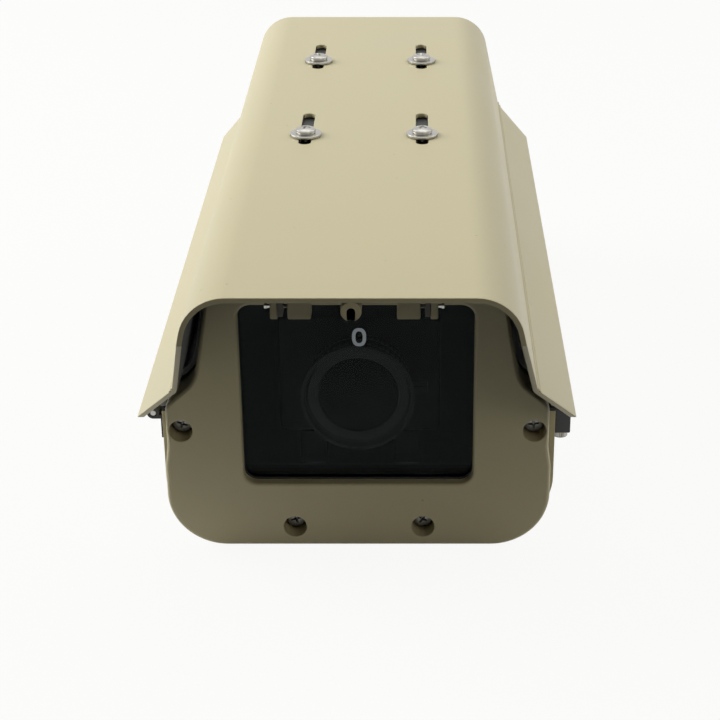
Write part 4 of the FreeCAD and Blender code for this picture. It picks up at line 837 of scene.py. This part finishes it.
def window():
    """The glass with ground edges, its retaining frame and that frame's screws."""
    sizes = bpy.context.scene.housing_sizes
    softened("window_glass", "ground_window_glass", 0.3 * MM, "window")
    softened("window_retainer", "window_frame", sizes.small_round, "grey_primer")
    head, height, shank = 1.8 * MM, 1.2 * MM, 1.2 * MM
    boxes = solid_boxes("window_retainer_screws")
    points = [Vector(((low.x + high.x) / 2, high.y - height, (low.z + high.z) / 2)) for low, high in boxes]
    length = boxes[0][1].y - boxes[0][0].y - height
    mesh = screw_mesh(head, height, shank, length, sizes.small_thread, 0.15 * MM, dome=0.3 * MM)
    dress(repeated("window_frame_screws", mesh, turned_places(points, FACING_REAR)), "steel",
          "window_retainer_screws")
    numeral()


def glands():
    """Cable glands with softly moulded wrench flats, grip ribs round the caps and rubber seals."""
    sizes = bpy.context.scene.housing_sizes
    for side in SIDES:
        name = "gland_" + side
        for part in ("body", "cap", "locknut"):
            softened("%s_%s" % (name, part), "%s_moulded_%s" % (name, part), sizes.cast_round, "nylon")
        coat(name + "_seal", "rubber")


# Camera and lens
def numeral():
    """A plain pale numeral, printed on the window above the lens."""
    half_width, half_height, stroke, ink_thickness = 2.35 * MM, 3.3 * MM, 1.15 * MM, 0.04 * MM
    low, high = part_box("window_glass")
    centre = Vector((0.8 * MM, low.y, 77.7 * MM))
    form = bmesh.new()
    steps = 40
    loops = []
    for depth in (ink_thickness, 0.0):
        for inset in (0.0, stroke):
            loop = []
            for index in range(steps):
                angle = FULL_TURN * index / steps
                # The straight-sided oval of a printed nought
                across = math.copysign(abs(math.cos(angle)) ** 0.8, math.cos(angle)) * (half_width - inset)
                up = math.copysign(abs(math.sin(angle)) ** 0.8, math.sin(angle)) * (half_height - inset)
                loop.append(form.verts.new(centre + Vector((across, -depth, up))))
            loops.append(loop)
    front_outer, front_inner, back_outer, back_inner = loops
    for one, two in ((front_outer, front_inner), (back_inner, back_outer), (back_outer, front_outer),
                     (front_inner, back_inner)):
        for index in range(steps):
            after = (index + 1) % steps
            form.faces.new([one[index], one[after], two[after], two[index]])
    dress(object_from(form, "printed_numeral"), "ink", body=BODY_OF["window_glass"])


def camera():
    """The box camera on its riser and tray, with the knob that clamps it."""
    sizes = bpy.context.scene.housing_sizes
    softened("camera_body", "camera_case", sizes.cast_round, "primer")
    softened("camera_riser", "bent_riser", sizes.small_round, "enamel")
    softened("camera_tray", "sliding_tray", sizes.small_round, "aluminium")
    head, height, shank = 8.0 * MM, 4.5 * MM, 3.1 * MM
    low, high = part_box("camera_screw")
    point = Vector(((low.x + high.x) / 2, (low.y + high.y) / 2, low.z + height))
    mesh = screw_mesh(head, height, shank, high.z - low.z - height, 1.27 * MM, 0.5 * MM, drive="slot",
                      dome=0.3 * MM, grip=40)
    dress(repeated("camera_clamp_screw", mesh, turned_places([point], FACING_DOWN)), "steel", "camera_screw")


def lens():
    """The lens: mount, stepped barrel, ribbed focus and zoom rings with lock screws, and the front element."""
    low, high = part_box("lens_barrel")
    axis = Vector((0, 0, (low.z + high.z) / 2))
    rim_front, rim_radius = low.y, (high.x - low.x) / 2
    core_radius, core_back = 15.0 * MM, high.y
    rim_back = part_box("zoom_ring")[0].y - 0.3 * MM
    bore, well_radius = 13.9 * MM, rim_radius - 1.2 * MM
    name_ring = rim_front + 2.7 * MM
    mount_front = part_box("lens_mount")[0].y

    def about_lens(form, start):
        place = Matrix.Translation((axis.x, start, axis.z)) @ FACING_FRONT
        bmesh.ops.transform(form, matrix=place, verts=form.verts)
        return form

    # Fine steps inside the rim keep stray light out of the picture
    baffles = []
    count = 5
    for index in range(count):
        near = (name_ring - rim_front) * index / count
        far = (name_ring - rim_front) * (index + 1) / count
        baffles += [(near, well_radius - 0.16 * MM * index), (far, well_radius - 0.16 * MM * index)]
    rows = [(rim_back - rim_front, rim_radius), (0.0, rim_radius)] + baffles + [
        (name_ring - rim_front, bore), (mount_front - rim_front, bore), (core_back - rim_front, bore),
        (core_back - rim_front, core_radius), (rim_back - rim_front, core_radius)]
    closed = rounded_rows(rows + [rows[0]], 0.12 * MM, steps=2)[1:-1]
    dress(object_from(about_lens(turned(closed, steps=96, ring=True), rim_front), "stepped_lens_barrel"),
          "nylon", "lens_barrel")
    softened("lens_mount", "lens_mount_flange", 0.2 * MM, "enamel")
    for name, teeth in (("focus", 60), ("zoom", 48)):
        ring_low, ring_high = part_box(name + "_ring")
        length, radius = ring_high.y - ring_low.y, (ring_high.z - ring_low.z) / 2
        inner = core_radius + 0.05 * MM
        rows = [(0, inner), (0, radius - 0.5 * MM), (0.5 * MM, radius), (0.7 * MM, radius),
                (length - 0.7 * MM, radius), (length - 0.5 * MM, radius), (length, radius - 0.5 * MM),
                (length, inner)]
        knurl = knurled(0.6 * MM, length - 0.6 * MM, teeth, 0.45 * MM)
        form = about_lens(turned(rows, steps=teeth * 4, radius_at=knurl, ring=True), ring_low.y)
        dress(object_from(form, "ribbed_%s_ring" % name), "nylon", name + "_ring")
        knob_low, knob_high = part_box(name + "_lock_screw")
        head, height, shank = 1.3 * MM, 5.7 * MM, 0.65 * MM
        length = knob_high.x - knob_low.x - height
        place = (Matrix.Translation((knob_high.x - height, (knob_low.y + knob_high.y) / 2, axis.z))
                 @ FACING_RIGHT)
        mesh = screw_mesh(head, height, shank, length, 0.35 * MM, 0.12 * MM, drive="slot", dome=0.2 * MM,
                          grip=18)
        dress(repeated(name + "_knurled_lock", mesh, [place]), "nylon", name + "_lock_screw")
    front_element(axis)


def front_element(axis):
    """The domed front glass."""
    low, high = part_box("front_element")
    radius, dome = (high.x - low.x) / 2, 2.4 * MM
    ball = (radius ** 2 + dome ** 2) / (2 * dome)
    rows = [(0.0, 0.0)]
    count = 14
    for index in range(1, count + 1):
        reach = radius * index / count
        rows.append((ball - math.sqrt(ball ** 2 - reach ** 2), reach))
    rows += [(high.y - low.y, radius), (high.y - low.y, 0.0)]
    form = turned(rows, steps=96)
    place = Matrix.Translation((axis.x, low.y, axis.z)) @ FACING_FRONT
    bmesh.ops.transform(form, matrix=place, verts=form.verts)
    dress(object_from(form, "domed_front_element"), "lens", "front_element")


def terminal_block():
    """The power lead's terminal block with its slotted brass screws."""
    softened("terminal_block", "moulded_terminal_block", 0.3 * MM, "melamine")
    low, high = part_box("terminal_block")
    count, head, height, well_depth = 4, 1.75 * MM, 1.2 * MM, 5.0 * MM
    pitch = (high.x - low.x) / count
    points = [Vector((low.x + pitch * (index + 0.5), (low.y + high.y) / 2, high.z - well_depth + height * 0.5))
              for index in range(count)]
    mesh = screw_mesh(head, height, head * 0.6, height * 0.5, 0.5 * MM, 0.1 * MM, drive="slot", dome=0.15 * MM)
    places = turned_places(points, FACING_UP)
    dress(repeated("brass_terminal_screws", mesh, places), "brass", body=BODY_OF["terminal_block"])


# Studio
def studio():
    """A pale floor, soft light from above and both sides, and the camera."""
    settings = bpy.context.scene.housing_studio
    form = bmesh.new()
    bmesh.ops.create_grid(form, x_segments=8, y_segments=8, size=4.0)
    bmesh.ops.translate(form, vec=(0, 0, -0.2 * MM), verts=form.verts)
    floor = object_from(form, "studio_floor")
    floor.data.materials.append(studio_floor())
    neutral, warm = (1.0, 1.0, 1.0), (1.0, 0.95, 0.84)
    lamps = (
        ("ceiling_softbox", settings.ceiling_power, neutral, 1.3, (0.0, 0.15, 1.35)),
        ("left_softbox", settings.left_power, neutral, 0.8, (-1.1, 0.25, 0.75)),
        ("right_softbox", settings.right_power, neutral, 0.8, (1.1, 0.25, 0.75)),
        ("front_softbox", settings.front_power, warm, 0.6, (0.75, -0.95, 0.8)),
    )
    for name, power, tint, size, place in lamps:
        lamp = bpy.data.lights.new(name, "AREA")
        lamp.energy = power
        lamp.color = tint
        lamp.size = size
        holder = bpy.data.objects.new(name, lamp)
        holder.location = place
        holder.rotation_euler = Vector(place).to_track_quat("Z", "Y").to_euler()
        bpy.context.scene.collection.objects.link(holder)
    paint_world(settings.room_level)
    lens_data = bpy.data.cameras.new("photo_camera")
    lens_data.sensor_width = 36.0
    lens_data.lens = settings.focal_length
    lens_data.shift_x = settings.shift
    lens_data.clip_start = 0.01
    viewer = bpy.data.objects.new("photo_camera", lens_data)
    viewer.location = settings.camera_place
    viewer.rotation_euler = (math.pi / 2 - settings.camera_pitch, 0, 0)
    bpy.context.scene.collection.objects.link(viewer)
    bpy.context.scene.camera = viewer
    bpy.context.scene.view_settings.view_transform = "Standard"


def seen_directly(tree):
    """1 for what the camera sees, also in gloss or through glass, and 0 for light that matt surfaces gather."""
    path = add(tree, "ShaderNodeLightPath")
    gloss = add(tree, "ShaderNodeMath", {0: path.outputs["Is Camera Ray"], 1: path.outputs["Is Glossy Ray"]},
                operation="MAXIMUM")
    glass = add(tree, "ShaderNodeMath", {0: gloss.outputs[0], 1: path.outputs["Is Transmission Ray"]},
                operation="MAXIMUM")
    unscattered = add(tree, "ShaderNodeMath", {0: path.outputs["Diffuse Depth"], 1: 0.5},
                      operation="LESS_THAN")
    return add(tree, "ShaderNodeMath", {0: glass.outputs[0], 1: unscattered.outputs[0]},
               operation="MULTIPLY").outputs[0]


def studio_floor():
    """Matt paper: near white where it is seen, with the housing's shadow; the colour that bounced light sees is painted
    bright near the housing and dark further in front.
    """
    colour = bpy.context.scene.housing_colours.floor
    material, tree, place = begin_material("matt_paper_floor")
    fibre = add(tree, "ShaderNodeTexNoise", {"Vector": place, "Scale": 1 / (2 * MM), "Detail": 2.0})
    seen = add(tree, "ShaderNodeMix", {0: fibre.outputs["Fac"], 6: shade(colour, 0.99), 7: colour},
               data_type="RGBA")
    direct = seen_directly(tree)
    # Painted light: for bounced rays the paper is painted bright only round the housing and near black further in
    # front, so that bounced light comes from the near part alone
    along = add(tree, "ShaderNodeSeparateXYZ", {0: place})
    painted_bounce_pool = add(tree, "ShaderNodeMapRange", {"Value": along.outputs["Y"], "From Min": -0.22, "From Max": -0.18})
    painted_bounce_tone = add(tree, "ShaderNodeMix", {0: painted_bounce_pool.outputs[0], 6: shade(colour, 0.03), 7: shade(colour, 0.85)},
                 data_type="RGBA")
    tone = add(tree, "ShaderNodeMix", {0: direct, 6: painted_bounce_tone.outputs[2], 7: seen.outputs[2]},
               data_type="RGBA")
    paper = add(tree, "ShaderNodeBsdfDiffuse", {"Color": tone.outputs[2]})
    glow = add(tree, "ShaderNodeEmission", {"Color": seen.outputs[2], "Strength": 1.0})
    share = add(tree, "ShaderNodeMath", {0: direct, 1: 0.95}, operation="MULTIPLY")
    shader = add(tree, "ShaderNodeMixShader", {0: share.outputs[0], 1: paper.outputs[0], 2: glow.outputs[0]})
    add(tree, "ShaderNodeOutputMaterial", {"Surface": shader.outputs[0]})
    return material


def paint_world(level):
    """A plain white surround that is seen at full strength and lights the housing at a low one."""
    world = bpy.data.worlds.new("studio_room")
    bpy.context.scene.world = world
    world.use_nodes = True
    tree = world.node_tree
    tree.nodes.clear()
    strength = add(tree, "ShaderNodeMapRange", {"Value": seen_directly(tree), "To Min": level, "To Max": 1.0})
    light = add(tree, "ShaderNodeBackground", {"Color": (1.0, 1.0, 1.0, 1.0), "Strength": strength.outputs[0]})
    add(tree, "ShaderNodeOutputWorld", {"Surface": light.outputs[0]})


# Operators
class HOUSING_OT_studio(bpy.types.Operator):
    """Sets up the floor, the soft light and the camera"""
    bl_idname = "housing.studio"
    bl_label = "Studio"

    def execute(self, context):
        studio()
        return {"FINISHED"}


class HOUSING_OT_sunshield(bpy.types.Operator):
    """Builds the flared sunshield"""
    bl_idname = "housing.sunshield"
    bl_label = "Sunshield"

    def execute(self, context):
        sunshield()
        return {"FINISHED"}


class HOUSING_OT_end_plates(bpy.types.Operator):
    """Builds the front and rear castings"""
    bl_idname = "housing.end_plates"
    bl_label = "End plates"

    def execute(self, context):
        end_plates()
        return {"FINISHED"}


class HOUSING_OT_lid_and_trough(bpy.types.Operator):
    """Builds the lid and the lower trough"""
    bl_idname = "housing.lid_and_trough"
    bl_label = "Lid and trough"

    def execute(self, context):
        lid_and_trough()
        return {"FINISHED"}


class HOUSING_OT_gaskets(bpy.types.Operator):
    """Finishes the rubber gaskets"""
    bl_idname = "housing.gaskets"
    bl_label = "Gaskets"

    def execute(self, context):
        gaskets()
        return {"FINISHED"}


class HOUSING_OT_plate_screws(bpy.types.Operator):
    """Builds the end plates' recessed screws"""
    bl_idname = "housing.plate_screws"
    bl_label = "Plate screws"

    def execute(self, context):
        plate_screws()
        return {"FINISHED"}


class HOUSING_OT_shield_fixings(bpy.types.Operator):
    """Builds the sunshield's screws, washers, rails and strips"""
    bl_idname = "housing.shield_fixings"
    bl_label = "Sunshield fixings"

    def execute(self, context):
        shield_fixings()
        return {"FINISHED"}


class HOUSING_OT_hinges(bpy.types.Operator):
    """Builds the hinges, pins and rivets"""
    bl_idname = "housing.hinges"
    bl_label = "Hinges"

    def execute(self, context):
        hinges()
        return {"FINISHED"}


class HOUSING_OT_lid_screws(bpy.types.Operator):
    """Builds the lugs and the knurled lid screws"""
    bl_idname = "housing.lid_screws"
    bl_label = "Lid screws"

    def execute(self, context):
        lid_screws()
        return {"FINISHED"}


class HOUSING_OT_stop_brackets(bpy.types.Operator):
    """Builds the sunshield's stop brackets and buffers"""
    bl_idname = "housing.stop_brackets"
    bl_label = "Stop brackets"

    def execute(self, context):
        stop_brackets()
        return {"FINISHED"}


class HOUSING_OT_window(bpy.types.Operator):
    """Builds the window glass and its frame"""
    bl_idname = "housing.window"
    bl_label = "Window"

    def execute(self, context):
        window()
        return {"FINISHED"}


class HOUSING_OT_glands(bpy.types.Operator):
    """Builds the cable glands"""
    bl_idname = "housing.glands"
    bl_label = "Cable glands"

    def execute(self, context):
        glands()
        return {"FINISHED"}


class HOUSING_OT_camera(bpy.types.Operator):
    """Builds the camera, its riser, tray and clamp screw"""
    bl_idname = "housing.camera"
    bl_label = "Camera"

    def execute(self, context):
        camera()
        return {"FINISHED"}


class HOUSING_OT_lens(bpy.types.Operator):
    """Builds the lens with its rings"""
    bl_idname = "housing.lens"
    bl_label = "Lens"

    def execute(self, context):
        lens()
        return {"FINISHED"}


class HOUSING_OT_terminal_block(bpy.types.Operator):
    """Builds the terminal block and its screws"""
    bl_idname = "housing.terminal_block"
    bl_label = "Terminal block"

    def execute(self, context):
        terminal_block()
        return {"FINISHED"}


OPERATORS = (
    HOUSING_OT_studio, HOUSING_OT_sunshield, HOUSING_OT_end_plates, HOUSING_OT_lid_and_trough,
    HOUSING_OT_gaskets, HOUSING_OT_plate_screws, HOUSING_OT_shield_fixings, HOUSING_OT_hinges,
    HOUSING_OT_lid_screws, HOUSING_OT_stop_brackets, HOUSING_OT_window, HOUSING_OT_glands,
    HOUSING_OT_camera, HOUSING_OT_lens, HOUSING_OT_terminal_block,
)


class HOUSING_PT_panel(bpy.types.Panel):
    """Lists the housing's pieces in the sidebar"""
    bl_idname = "HOUSING_PT_panel"
    bl_label = "Camera housing"
    bl_space_type = "VIEW_3D"
    bl_region_type = "UI"
    bl_category = "Housing"

    def draw(self, context):
        for operator in OPERATORS:
            self.layout.operator(operator.bl_idname)


GROUPS = (HousingColours, HousingSizes, HousingStudio)


def register():
    for item in (*GROUPS, *OPERATORS, HOUSING_PT_panel):
        bpy.utils.register_class(item)
    bpy.types.Scene.housing_colours = bpy.props.PointerProperty(type=HousingColours)
    bpy.types.Scene.housing_sizes = bpy.props.PointerProperty(type=HousingSizes)
    bpy.types.Scene.housing_studio = bpy.props.PointerProperty(type=HousingStudio)


def unregister():
    del bpy.types.Scene.housing_studio
    del bpy.types.Scene.housing_sizes
    del bpy.types.Scene.housing_colours
    for item in reversed((*GROUPS, *OPERATORS, HOUSING_PT_panel)):
        bpy.utils.unregister_class(item)


def main():
    register()
    for operator in OPERATORS:
        category, name = operator.bl_idname.split(".")
        if getattr(getattr(bpy.ops, category), name)() != {"FINISHED"}:
            raise RuntimeError("not finished: " + operator.bl_idname)
    bpy.context.view_layer.update()


if __name__ == "__main__":
    main()
